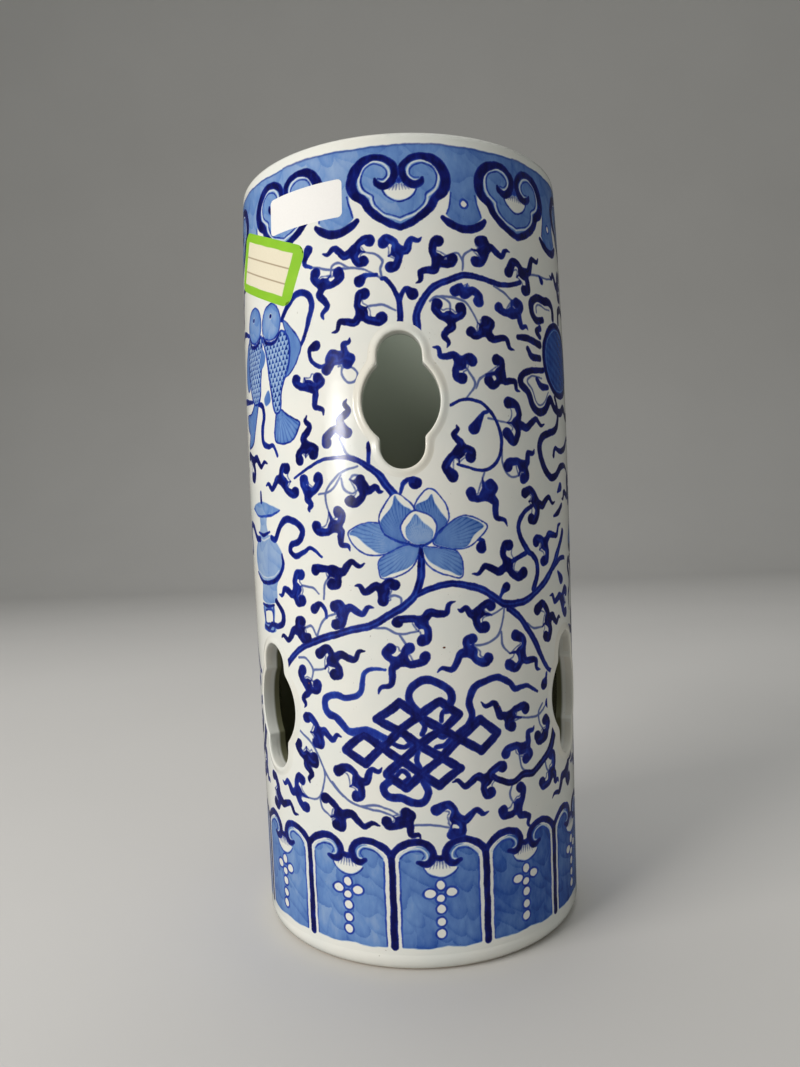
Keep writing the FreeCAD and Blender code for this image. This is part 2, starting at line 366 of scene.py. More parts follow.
# Vines: widths along the stroke, how loaded the brush was, and the points
VINES = (
    ((1.8, 2.0, 2.1, 2.2, 2.2), 0.62,
     ((-50.9, 100.6), (-46.2, 105.1), (-40.4, 108.9), (-34.5, 111.5), (-26, 113.9), (-21.2, 115.4),
      (-12.4, 117.4), (-5.3, 121.2), (-0.6, 124.2), (2.4, 127.1), (4.2, 132.3), (4.9, 138), (4.8, 143.2))),
    ((1.6, 2.1, 2.2, 2.2), 0.62,
     ((1.8, 126.2), (6.5, 128.6), (11.2, 129.9), (17.1, 129.9), (23.9, 128), (29.2, 125.1), (33.3, 122.4),
      (38, 121.8), (43.3, 122.4), (48.6, 124.8), (54.5, 128.3), (59.2, 132.1), (62.7, 136),
      (66.2, 140.1), (70, 145.4))),
    ((2.0, 1.2), 0.62, ((59.2, 132.1), (66.2, 135.6), (71.5, 135.6))),
    ((2.0, 2.0, 1.4), 0.62,
     ((35.6, 120.4), (40.4, 116.8), (43.9, 112.7), (47.4, 108), (50.9, 102.1), (54.5, 97.4), (57.1, 95.9))),
    ((1.9, 1.7, 1.2), 0.65,
     ((47.4, 126.2), (49.8, 130.9), (49.8, 135.1), (47.4, 138), (45.1, 139.5), (41.5, 144.8), (41.2, 149.5),
      (43.9, 153.1), (48, 155))),
    ((1.6, 1.2), 0.62, ((43.9, 138.9), (40.5, 137.5), (37, 135.8))),
    ((0.5, 0.8, 1.1, 1.9, 2.4), 0.6,
     ((-40.4, 167.8), (-34.5, 170.7), (-29.2, 172.8), (-25.3, 173.4), (-20, 173.6), (-15.3, 172.2),
      (-11.8, 170.1), (-8.2, 167.2), (-5.9, 163.6), (-3.5, 160.4))),
    ((1.9, 1.5, 0.9), 0.65, ((0.6, 214.5), (0.9, 222.2), (-0.6, 226.9), (-3.5, 231.1), (-4.7, 231.4))),
    ((2.1, 1.7, 1.3), 0.65,
     ((6.2, 213.5), (6.5, 219.9), (8.8, 224.6), (12.4, 228.1), (17.1, 230.5), (22.7, 232.3), (28.6, 232),
      (35.6, 230.5), (41.5, 231.1), (46.2, 232.6))),
    ((0.5, 0.9, 0.9, 0.5), 0.65,
     ((16.2, 189), (21.5, 191.1), (26.8, 190.2), (30.9, 186.9), (33.6, 182.5), (34.8, 177.2), (33.9, 172.5),
      (30.9, 168.9), (26.8, 167.5), (22.1, 168.4), (18, 169.5))),
    ((3.4, 2.4, 2.0, 1.6), 0.8,
     ((58.9, 74.7), (56.2, 69.4), (52.1, 65.9), (45.1, 62.1), (40.4, 62.6), (35.1, 60.6), (29.8, 62.6),
      (26.8, 64.7))),
)

# Thin tendrils
TENDRILS = (
    ((-12.4, 116.5), (-7.6, 115.9), (-3.5, 114.2), (2.9, 114.8)),
    ((-3.5, 114.2), (-1.5, 110.9), (-1.2, 108.6)),
    ((-6.8, 126.2), (-4.5, 127), (-2.6, 126.2), (-2.4, 123.9)),
    ((-30, 63.2), (-25.3, 58.5), (-20, 56), (-14.7, 56.8), (-10, 55.6), (-6.5, 54.1)),
    ((-20, 56), (-12.4, 54.7), (-8.2, 53.2)),
    ((-3.2, 50.3), (5.3, 50), (11.2, 48.8)),
    ((-45.4, 80), (-40.4, 77.1), (-36.8, 73.5), (-33.9, 68.2), (-30.9, 63.5), (-26, 58.8)),
    ((-36.8, 73.5), (-33.3, 66.5), (-34.5, 60), (-36.8, 56.5), (-41.5, 55.9)),
    ((-35.9, 57.1), (-35.1, 53.5), (-31.5, 50.9)),
    ((39.8, 82.4), (44.5, 81.5), (48.6, 81.8), (53.3, 84.4)),
    ((50.9, 85.3), (48.6, 82.4), (49.2, 78.8), (50.9, 76.5)),
    ((38.6, 69.4), (39.8, 64.7), (43.3, 62.4)),
    ((35.1, 60), (33.9, 56.5), (35.1, 53.5)),
    ((52.1, 64.7), (53, 61.5), (55, 60)),
    ((-39.2, 130.6), (-34.5, 129.8), (-31.8, 127.7)),
    ((-38.6, 115.9), (-35.6, 116.5), (-33.6, 113)),
    ((-33.6, 113), (-31.5, 117.4), (-29.2, 119.8), (-26, 121), (-23.5, 121.1)),
    ((-29.8, 125.9), (-29.2, 130.9), (-28, 133.3)),
    ((-42.7, 105.1), (-39.2, 105.1), (-36.2, 102.1), (-36.8, 98)),
    ((-35.6, 101.5), (-30.9, 102.1)),
    ((28.6, 118.6), (33, 120.9)),
    ((21.5, 109.2), (25.6, 109.2), (29.8, 110.9), (31.8, 113.3), (33.3, 118), (33.6, 120.9)),
    ((32.1, 112.7), (32.7, 108), (35.6, 105.1)),
    ((43.9, 114.5), (47.4, 112.4), (52.1, 112.4)),
    ((-15.3, 170.1), (-21.2, 168.4), (-26.5, 163.6), (-27.4, 159.5), (-26.5, 155.4)),
    ((-30, 161.6), (-25.3, 162.5), (-22.4, 166), (-21.2, 167.8)),
    ((-21.2, 166.6), (-20.3, 163.1), (-17.6, 161.4), (-15.6, 162.5)),
    ((-18.2, 166), (-16.8, 167.3), (-14.4, 166.9)),
    ((-21.2, 179.5), (-19.1, 174.8), (-16.5, 173.4)),
    ((34.8, 174.2), (35.1, 168.9), (38, 165.4), (41.5, 165.7)),
    ((26.8, 164.8), (27.7, 167.2)),
    ((29.8, 184.8), (37.4, 183.6)),
    ((-18.6, 205), (-19.6, 201.4), (-17.8, 198.4), (-15, 198.6), (-13.9, 200.8), (-15.6, 203), (-18, 203.4)),
    ((50.9, 236.1), (57, 236.9), (63.5, 237.4), (70, 238.5)),
    ((-9.7, 222.5), (-4.7, 222.8), (-0.6, 220.5)),
    ((10.6, 223.4), (13.5, 224.9), (17.1, 223.4), (17.6, 221.1)),
    ((13.5, 224.9), (18, 224.9), (22.7, 223.4), (25.6, 219.9), (27.1, 216.9)),
    ((22.7, 201.1), (25.1, 196.4), (22.1, 191.6)),
    ((29.8, 199.6), (26.8, 197.5), (25.4, 194.9)),
    ((41.5, 225.8), (38, 228.1), (33.9, 229.6)),
    ((-30, 238.5), (-22.9, 236.4), (-18.2, 236.1), (-10.6, 234.9), (-4.7, 231.4)),
    ((-22.4, 234.4), (-21.8, 237.3), (-19.4, 238.2), (-15.9, 236.1)),
    ((-4.7, 231.4), (-5, 234.4), (-4.4, 237.3), (-6.5, 239.6), (-10, 240.8)),
    ((17.1, 238.5), (20, 239.6), (21.5, 239.1), (22.7, 236.7), (22.4, 233.8)),
    ((26.2, 241.4), (23.3, 239.1), (22.7, 234.4)),
)

# Comma-shaped buds: points of the stem, then the ball at its end and its radius
BUDS = (
    (((-29.2, 119.8), (-29.5, 122.1), (-31.5, 124.2), (-34.2, 122.7)), 1.5),
    (((32, 124.2), (33.2, 126.3), (34.8, 127.7)), 1.5),
    (((-1.2, 160.7), (0, 163.9), (2.1, 165.4), (3.7, 163.9)), 1.9),
    (((-11.5, 170.4), (-11.2, 175.4), (-10.3, 177.1)), 1.3),
    (((22.4, 144.4), (25.9, 144.1), (25.5, 141.5)), 1.8),
    (((29.5, 187), (27.4, 186), (24.3, 181.5)), 1.8),
    (((-24.7, 204.9), (-27.6, 204.6), (-30.9, 206.9), (-31.5, 210.5), (-28.9, 211.9)), 1.6),
    (((0.7, 221), (1.2, 225), (3, 227.6), (5.1, 226)), 1.7),
    (((-6.5, 232.8), (-10, 232.8), (-12.4, 231.1)), 1.7),
    (((-30, 238.5), (-32.7, 240.2), (-30.9, 244.4)), 1.6),
    (((54, 95.5), (53.4, 93.6), (52.1, 91.8)), 1.7),
    (((53.3, 84.4), (54.6, 84.9)), 1.7),
    (((64.5, 131), (67.4, 128)), 1.7),
    (((66, 160), (69.2, 161.9)), 1.6),
    (((58.2, 236.8), (59.8, 235.5)), 1.2),
)

# Places kept clear of the scroll on the far side: centre (s, z), half width and half height
KEPT_CLEAR = ((-60, 205, 27, 30), (-61, 137, 27, 27), (74, 198, 27, 34), (91, 137, 13, 25),
              (203, 206, 17, 29), (206, 138, 14, 22))

# The middle of the scroll in sight, and the third of the girth after which it is drawn again
SCROLL_MID = 4.6
UNIT = GIRTH / 3

# Leaves that fill the gaps on the far side: where, and which way the tail points in degrees
LOOSE_LEAVES = ((203, 237, 10), (217, 240, 150), (224, 226, -80), (193, 172, 60), (203, 168, 40),
                (207, 108, 170), (185, 152, 80), (99, 168, -120), (84, 110, 190), (78, 238, 165),
                (90, 241, 15), (180, 206, 75), (180, 189, -100), (226, 150, -70), (94, 184, 40),
                (81, 161, 190), (-92, 240, 200), (-91, 205, -80), (-90, 178, 100), (-92, 140, -60),
                (-89, 116, 170))


def is_clear(s, z):
    """Whether a place is outside all that is kept clear."""
    for centre, height, half_wide, half_tall in KEPT_CLEAR:
        across = (s - centre + GIRTH / 2) % GIRTH - GIRTH / 2
        if abs(across) < half_wide and abs(z - height) < half_tall:
            return False
    return True


def scrollwork(strip, shift=0.0, s_low=-1e9, s_high=1e9):
    """The lotus scroll: vines, tendrils, buds and leaves, here or further round the wall."""
    def wanted(points, *places):
        """Whether a stroke belongs to this stretch and its places are clear."""
        inside = s_low < np.mean([s for s, _ in points]) < s_high
        return inside and (shift == 0 or all(is_clear(*place) for place in places))

    for widths, depth, points in VINES:
        run = [place for place in shifted(points, shift) if shift == 0 or is_clear(*place)]
        if wanted(points) and len(run) > 2:
            brush(strip, run, widths, depth + 0.2)
            lighten(strip, run, [max(0.1, 0.7 * w - 0.8) for w in widths], depth - 0.12)
    for points in TENDRILS:
        line = shifted(points, shift)
        if wanted(points, line[len(line) // 2]):
            thin(strip, line)
    for points, radius in BUDS:
        line = shifted(points, shift)
        if wanted(points, line[-1]):
            widths = np.linspace(0.8, 1.6, len(points))
            widths[-1] = 2 * radius
            brush(strip, line, widths, (0.7, 0.95))
    for index, (joint, tip, *lobes) in enumerate(LEAVES):
        ends = shifted([joint, tip] if tip else [joint], shift)
        if wanted([joint], *ends):
            heart = np.mean([lobe[0] for lobe in lobes], axis=0)
            away = np.array(tip if tip else 2 * np.array(joint) - heart) - joint
            stem = stem_end(joint - 3.4 * away / math.hypot(*away)) + (shift, 0)
            leaf(strip, ends[0], ends[1] if tip else None, [shifted(lobe, shift) for lobe in lobes],
                 0.87 + 0.09 * math.sin(index * 2.4), 1 if index % 2 else -1, stem)


def loose_leaves(strip):
    """Single leaves in the gaps on the far side."""
    for s, z, angle in LOOSE_LEAVES:
        along = np.array([math.cos(math.radians(angle)), math.sin(math.radians(angle))])
        across = np.array([-along[1], along[0]])
        joint = np.array([s, z])
        lobes = [[joint + 4.6 * across - 0.5 * along], [joint - 4.4 * across + 0.4 * along]]
        leaf(strip, joint, joint + 11 * along + 1.5 * across, lobes, 0.9)


def petal(strip, shape, blue, base, tip, wash):
    """One lotus petal: bare edge, veined blue body and a fine dark outline."""
    bare(strip, shape)
    axis = math.atan2(tip[1] - base[1], tip[0] - base[0])
    length = math.hypot(tip[0] - base[0], tip[1] - base[1])

    def veined(s, z, field):
        away = np.hypot(s - base[0], z - base[1]) / length
        angle = np.arctan2(z - base[1], s - base[0]) - axis
        angle = (angle + math.pi) % (2 * math.pi) - math.pi
        bow = angle * (1 + 0.5 * away)
        ribs = np.clip(np.sin(bow * 46 + 0.8 * np.sin(away * 7)), 0, 1) ** 2
        dark = 0.2 * ribs * np.clip(away * 2.2 - 0.5, 0, 1) + 0.14 * np.exp(-away / 0.2)
        return wash - 0.04 + 0.1 * np.clip(away, 0, 1) ** 2 + dark + 0.12 * np.exp(-field / 0.5)

    fill(strip, blue, veined)
    brush(strip, shape, (0.1, 0.1), 0.62, closed=True)


# The petals of the lotus: outline, blue body, its base and tip, and the strength of the wash
PETALS = (
    (((-19.4, 147.9), (-16, 150.7), (-11.6, 151.3), (-8.2, 150.7), (-4, 147), (-0.6, 144.2),
      (-3.5, 142.2), (-7.3, 140.6), (-12.3, 140.5), (-16.6, 142.9)),
     ((-19, 147.9), (-16, 150.5), (-11.6, 151.1), (-8.2, 150.5), (-4, 147), (-0.8, 144.3),
      (-3.5, 142.4), (-7.3, 140.9), (-9.8, 141.3), (-12.9, 143.5), (-16.6, 147)),
     ((-1, 144), (-19.4, 147.9)), 0.48),
    (((27.9, 148.8), (23.4, 151.6), (19, 152.6), (15.3, 151), (12, 148), (9.2, 145.6), (9, 143.5),
      (14, 141.8), (20.3, 141.9), (24, 144.1)),
     ((26.6, 148.9), (23, 151), (19, 152.3), (15.3, 150.8), (12, 148), (9.4, 145.6), (9.2, 143.7),
      (14, 142), (20, 142.2), (23, 146)),
     ((9, 144), (27.9, 148.8)), 0.55),
    (((4.3, 142.8), (-0.6, 143.4), (-6, 141), (-9.2, 138.8), (-9.4, 135.8), (-8.4, 132.8),
      (-4.1, 133.2), (0.9, 135.4), (3.3, 138.5)),
     ((4.1, 142.7), (-0.6, 143.2), (-6, 140.8), (-9, 138.8), (-9.2, 135.8), (-8.2, 133.2),
      (-4.6, 134.6), (0, 135.9), (2.9, 138.2)),
     ((4, 143), (-8.4, 132.8)), 0.48),
    (((5.3, 142.9), (9, 142.4), (13.5, 141.8), (16.5, 141), (18.5, 137.5), (18.3, 132.3),
      (14, 132.6), (9, 134.8), (5.9, 138.5)),
     ((5.5, 142.7), (9, 142.2), (13.5, 141.6), (16.4, 140.8), (18.3, 137.5), (18.1, 132.7),
      (14.5, 134), (10, 136), (6.9, 138.8)),
     ((5, 143), (18.4, 132.3)), 0.52),
    (((-3.5, 160.7), (-7.3, 156), (-8.6, 151.6), (-6.8, 147.5), (-1, 144.2), (1.5, 148), (4, 152),
      (3, 155.5), (1.3, 158)),
     ((-3.3, 160), (-4.3, 156.8), (-6.9, 153.3), (-8.3, 150.6), (-6.6, 147.6), (-1, 144.5),
      (1.5, 148), (3.5, 152), (2, 155.2), (-0.7, 156.6), (-2.4, 158.4)),
     ((-1, 144.5), (-3.5, 160.7)), 0.58),
    (((8.6, 161.8), (4.9, 159.4), (3.2, 155.6), (6, 151), (10.3, 146.9), (13.4, 149.8),
      (14.4, 153.5), (12.8, 157.9)),
     ((8.9, 160), (7.4, 158.2), (4.4, 157.2), (3.5, 155.6), (6, 151), (10.4, 147.2), (13.2, 149.9),
      (13.8, 151.4), (11.5, 154.2), (9.8, 157)),
     ((9, 147), (8.6, 161.8)), 0.58),
    (((3.1, 154.9), (-0.3, 152), (-1.7, 149), (-0.2, 145.2), (4.6, 143.4), (9, 145.4),
      (10.2, 149.6), (8, 153)),
     ((3.3, 153.8), (1.6, 151), (-0.1, 148.7), (0, 146.2), (1.8, 144.3), (4.6, 143.7),
      (7.8, 144.6), (9, 146.5), (8.7, 148.2), (6, 150.8)),
     ((4.6, 143.5), (3.3, 153.8)), 0.4),
)


def lotus(strip, s0=0.0):
    """The open lotus, its petals from the back to the bud in front."""
    for shape, blue, axis, wash in PETALS:
        petal(strip, shifted(shape, s0), shifted(blue, s0), *shifted(axis, s0), wash)
    lap = ((-6.9, 147.4), (-3.5, 145.3), (-0.5, 144.2), (4.6, 143.2), (8.8, 145), (10.4, 146.9),
           (13.6, 149.6))
    brush(strip, shifted(lap, s0), (0.2, 0.4, 0.5, 0.4, 0.2), 0.7)
    brush(strip, shifted(((4.7, 143.2), (4.8, 139.5), (4.6, 136)), s0), (0.7, 1.7, 2.0), 0.9)


# The endless knot: the corners of its band, and the loops and short ties with their widths
KNOT_CORNERS = (
    (-24.1, 74.8), (-17.3, 80.8), (-10.7, 76.2), (-4, 71.7), (2, 67.3), (8, 63.2), (15.5, 68.4),
    (8.7, 72.6), (2.5, 76.6), (-4.3, 81.6), (-12.3, 85.7), (-4.3, 91.3), (1.3, 87.2), (6, 84),
    (11.3, 80.8), (16.4, 77.8), (23.3, 73.2), (29.5, 78.7), (23.1, 84), (16.7, 79.3), (12.5, 75.6),
    (8.7, 72.2), (2, 67), (-3, 62.7), (-9.7, 67.3), (-5, 71.3), (0, 75.6), (5.5, 79.6), (11, 82.6),
    (15.5, 86.5), (9.2, 91.3), (4.5, 88.6), (-0.5, 85), (-4.3, 82.3), (-10.7, 76.3), (-17, 70.7),
    (-24.1, 74.8),
)

KNOT_LOOPS = (
    (((3.3, 86), (-0.7, 91.7), (-0.2, 96), (3.4, 98.6), (7.3, 98), (12, 95.3), (13.3, 92), (11.3, 88)),
     (2.2, 2.2)),
    (((-8, 65.7), (-10.9, 62.7), (-9.3, 59.7), (-4.7, 59.3), (-1, 57.6), (2.6, 57.8), (4.2, 61), (2.7, 65)),
     (2.4, 2.2)),
    (((2.2, 86.5), (3.8, 83.5), (3, 80.6)), (1.6, 1.4)),
    (((-6.6, 80.4), (-3.8, 80.4), (-1.2, 78), (2.4, 77.2)), (1.2, 1.3)),
    (((-6.8, 77.6), (-3.8, 76.4), (-1.5, 77.2)), (1.2, 1.2)),
    (((7.6, 81.2), (9.4, 79.2), (11.6, 80)), (1.4, 1.4)),
    (((7.4, 76), (10.4, 76.4), (12.4, 78.6)), (1.3, 1.3)),
    (((1.2, 74.6), (0.8, 71.8), (1.8, 69.4)), (1.5, 1.5)),
    (((-6.6, 66.6), (-4.4, 68.6), (-2.2, 66.4), (-4, 64.8)), (1.2, 1.2)),
    (((9.4, 84.8), (10, 87.4), (12, 87.6)), (1.2, 1.2)),
)

# Ribbons of the knot: points, widths and how loaded the brush was
KNOT_RIBBONS = (
    (((-10, 79.6), (-16, 81.8), (-22, 81.3), (-24.7, 83.3), (-27.3, 85.7), (-30, 86.7), (-31.5, 88.8),
      (-31, 92), (-27, 93.4), (-22.9, 92.7), (-18.2, 94.2), (-16.8, 97.4), (-15.9, 101.2),
      (-12.9, 102.8), (-8.8, 102.5)), (2.2, 2.3, 2.2, 2.0, 1.6, 0.5), 0.6),
    (((15.5, 80.5), (18.6, 82.3), (20.2, 85.6), (19.2, 90.5), (21.3, 94.8), (25.3, 96.7), (30, 97.4),
      (35.1, 95.1), (37.4, 92.7), (42.7, 92.9), (48.3, 90.1)), (2.2, 2.3, 2.1, 1.8, 0.6), 0.8),
)


def knot(strip, s0=0.0):
    """The endless knot: three straight bands each way, joined in points and loops."""
    corners = shifted(KNOT_CORNERS, s0)
    for a, b in zip(corners, corners[1:]):
        brush(strip, (a, b), (2.6, 2.6), 0.85)
        lighten(strip, (a, b), (0.1, 0.9, 0.1), 0.68)
    for points, widths in KNOT_LOOPS:
        brush(strip, shifted(points, s0), widths, 0.75)
    knot_ribbons(strip, s0)


def knot_ribbons(strip, s0):
    """The two long ribbons that wave from the knot and from the banner."""
    for points, widths, depth in KNOT_RIBBONS:
        brush(strip, shifted(points, s0), widths, depth)


def scatter(number):
    """A steady random value between 0 and 1 for each whole number."""
    return np.modf(np.abs(np.sin(number * 12.9898) * 4375.85))[0]


def brushed(low, high):
    """A wash laid in overlapping slanting strokes, each darker where it was set down."""
    def amount(s, z, field):
        across = (s + 0.4 * z + 1.6 * np.sin(0.37 * z + 0.2 * s) + 2.2 * np.sin(0.16 * s - 0.1 * z)) / 8.0
        column = np.floor(across)
        side = across - column
        along = z / 7.5 + scatter(column) + 0.3 * np.sin(0.3 * s + 0.2 * z) - 1.3 * (side - 0.6) ** 2
        row = np.floor(along)
        front = along - row
        patch = scatter(column * 3 + row * 7 + 1)
        stain = 0.5 + 0.5 * np.sin(s * 0.19 + 0.11 * z) * np.sin(0.16 * z - 0.12 * s + 1)
        set_down = np.maximum((1 - front) ** 3, 0.4 * (1 - side) ** 4)
        pooled = 0.3 * np.exp(-np.maximum(field, 0) / 1.3)
        load = 0.14 + 0.4 * np.sin(4 * math.pi * s / GIRTH - 0.33)
        return low + (high - low) * (0.35 * patch + 0.4 * stain + 0.5 * set_down + pooled + load - 0.05)
    return amount


def vase(strip):
    """The treasure vase with its lid, collar and trailing ribbons."""
    blue = brushed(0.34, 0.52)
    fill(strip, ((-65, 157), (-65, 152), (-65.6, 148), (-58.4, 148), (-59.2, 152), (-59.2, 157)), blue)
    fill(strip, ((-66.5, 148), (-71.4, 143), (-71.8, 138), (-69.5, 133.5), (-65.5, 130), (-66, 124),
                 (-54.6, 124), (-53.4, 130), (-51, 133.5), (-48.9, 138), (-50, 143), (-56.5, 148)), blue)
    fill(strip, ((-66, 122.5), (-65.4, 117), (-66, 113.2), (-56, 113.2), (-56.6, 117), (-56.6, 122.5)), blue)
    bare(strip, ((-63.6, 120.4), (-63.6, 116.4), (-58.2, 116.4), (-58.2, 120.4)))
    lid = ((-72.4, 158.4), (-68, 160.2), (-60, 160.2), (-49.3, 156.9), (-56, 155.4), (-66, 155.6))
    fill(strip, lid, brushed(0.38, 0.56))
    brush(strip, lid[3:] + lid[:1], (0.1, 0.5, 0.3, 0.1), 0.5)
    brush(strip, ((-63, 160.6), (-63.2, 164)), (1.4, 1.0), 0.8)
    brush(strip, ((-66.8, 149.4), (-62, 148.3), (-56.8, 149.4)), (0.4, 1.0, 0.4), 0.8)
    bare(strip, ((-67, 147.6), (-62, 146.4), (-56, 147.6)), (0.5, 0.6, 0.5), tint=0.12)
    brush(strip, ((-71.2, 134.6), (-66, 131.6), (-60.5, 131), (-54.5, 131.8), (-50.6, 134.4), (-48.9, 138),
                  (-49.4, 141.4)), (0.3, 1.0, 1.2, 1.3, 1.5, 1.1, 0.3), 0.8)
    bare(strip, ((-69.4, 135), (-65.5, 133.4), (-60.5, 132.9), (-54.8, 133.4), (-51.6, 135.6)),
         (0.4, 0.4), tint=0.12)
    brush(strip, ((-66.4, 122.8), (-61.5, 122.3), (-56.2, 122.8)), (0.5, 0.9, 0.5), 0.8)
    foot = ((-66, 121.6), (-64.4, 116), (-65.4, 113.8), (-61.5, 113.2), (-57, 113.8), (-57.4, 118),
            (-56.8, 121.8))
    panel = ((-64, 120.8), (-61, 121.1), (-58, 120.8), (-57.8, 116.2), (-61, 115.9), (-64, 116.2),
             (-64, 120.8))
    for edge in (foot, panel):
        brush(strip, edge, (0.3, 0.5, 0.3), 0.7)
    brush(strip, ((-54.5, 124.5), (-50.4, 120.4), (-50.9, 116.8), (-54.5, 115.4), (-58.6, 115.9),
                  (-61.5, 113.9), (-65.1, 114.5)), (1.6, 2.0, 1.6, 1.2), 0.8)
    right = ((-55.5, 147.2), (-52.7, 146.9), (-49.8, 151.3), (-45.6, 153.6), (-40.9, 152.5), (-38, 149.5),
             (-39.8, 146), (-43.3, 144.8), (-44.2, 142.5), (-41.5, 140.7), (-37.4, 142.2), (-34.2, 143.4),
             (-29.8, 140.4))
    left = ((-66, 147), (-70, 147.4), (-74.5, 151.5), (-79, 152.5), (-81.5, 148.8), (-79, 145),
            (-80.5, 141.5), (-84.5, 142), (-87, 139))
    for ribbon in (right, left):
        brush(strip, ribbon, (1.8, 2.1, 2.0, 1.6, 0.5), 0.75)


def scales(s, z, field):
    """Fish scales: rows of small dark wedges over a thin wash."""
    row = np.floor(z / 1.7)
    across = np.abs((s / 2.0 + 0.5 * (row % 2)) % 1.0 - 0.5)
    rise = (z / 1.7) % 1.0
    wedge = np.clip((0.62 - across * 1.5 - rise * 0.55) * 6, 0, 1)
    return 0.3 + 0.62 * wedge + 0.25 * np.exp(-field / 0.9)


def fish(strip, head, body, back_fin, tail, eye):
    """One of the pair of fish, head up, with a scaled body and a fanned tail."""
    root = tail[0]

    def fan(s, z, field):
        ray = np.arctan2(z - root[1], s - root[0])
        return 0.5 + 0.2 * np.clip(np.sin(ray * 40), 0, 1) ** 2 + 0.2 * np.exp(-field / 0.8)

    fill(strip, tail, fan)
    brush(strip, tail, (0.2, 0.2), 0.75, closed=True)
    fill(strip, back_fin, 0.56)
    brush(strip, back_fin, (0.1, 0.1), 0.7, closed=True)
    fill(strip, body, scales)
    brush(strip, body, (0.3, 0.3), 0.7, closed=True)
    fill(strip, head, lambda s, z, field: brushed(0.4, 0.56)(s, z, field) + 0.15 * np.exp(-field / 1.2))
    brush(strip, head, (0.1, 0.1), 0.7, closed=True)
    low = sorted(head, key=lambda p: p[1])[:2]
    left, right = min(head), max(head)
    gill = ((left[0] + 0.4, left[1] - 1.6), (left[0] + 2.6, low[0][1] - 0.9),
            (right[0] - 3.2, low[0][1] - 1.5), (right[0] - 0.2, right[1] - 2.2))
    bare(strip, shifted(gill, 0, 0.9), (0.6, 0.7, 0.5), tint=0.1)
    brush(strip, gill, (0.3, 1.0, 1.0, 0.3), 0.85)
    bare(strip, [(eye[0] - 0.9, eye[1]), (eye[0], eye[1] + 1.1), (eye[0] + 0.9, eye[1]),
                 (eye[0], eye[1] - 1.1)])
    ball(strip, eye[0], eye[1], 0.55)


def fishes(strip):
    """The pair of golden fish, side by side, tied with a waving ribbon."""
    ribbons = (
        ((-44, 223.1), (-40.9, 227.5), (-36.8, 230.5), (-32.1, 229.9), (-30.1, 226.4), (-31.5, 220.5),
         (-33.9, 215.2), (-35.4, 212.8)),
        ((-86, 223), (-78, 225.2), (-69.2, 222.5)),
        ((-84, 200.5), (-78, 199.3), (-68, 197.8)),
        ((-62.1, 196.4), (-58.6, 195.2), (-57.4, 191.6), (-58.9, 186.9), (-58.6, 182), (-55.1, 180.1),
         (-51.5, 179.8), (-49.2, 176.3)),
    )
    for points in ribbons:
        brush(strip, points, (1.4, 2.0, 1.8, 0.8), 0.75)
    fish(strip,
         ((-69.5, 224), (-68.8, 228.4), (-65.5, 231.2), (-61.2, 231), (-58, 227.6), (-57.8, 222.4),
          (-61, 219), (-66.5, 219.6)),
         ((-69.8, 221.4), (-62.8, 218.2), (-57.6, 220), (-57.4, 212), (-59, 204), (-60.6, 197),
          (-66.4, 197), (-70.4, 205), (-71.4, 214)),
         ((-71, 220), (-75, 215), (-76.5, 208), (-74, 203), (-70.6, 204), (-71.4, 212)),
         ((-64.5, 197.5), (-70, 194), (-77, 193.6), (-76.5, 189), (-73.6, 186), (-76, 181.5), (-69, 182.6),
          (-65.5, 188), (-61.6, 197)),
         (-63.9, 227.4))
    fish(strip,
         ((-56.3, 221), (-56, 226), (-53, 229.6), (-49, 230), (-45.6, 226.6), (-45.2, 221.6), (-48.6, 217.8),
          (-54, 218.4)),
         ((-56.6, 219.4), (-50.4, 216.6), (-44.6, 219.6), (-40.9, 216), (-40.6, 210), (-42.4, 204.6),
          (-45.6, 198.6), (-46.6, 192), (-49.8, 192), (-51.8, 200), (-53.2, 208), (-54.6, 214)),
         ((-43.4, 222.8), (-39, 219), (-35.3, 213), (-37, 208.5), (-40.5, 204.3), (-43, 203.5), (-41, 210),
          (-41.4, 216)),
         ((-47.4, 192.5), (-42, 189.4), (-37.2, 187), (-37.6, 184.8), (-40.4, 181.3), (-45.1, 180.2),
          (-49.8, 181.6), (-50, 187)),
         (-50.6, 225.8))
    fill(strip, ((-53.4, 200), (-56.8, 197.4), (-55.4, 194.6), (-52.2, 196)), 0.62)
    fill(strip, ((-57.8, 215), (-55, 213), (-56, 209.4), (-59.6, 208)), 0.62)


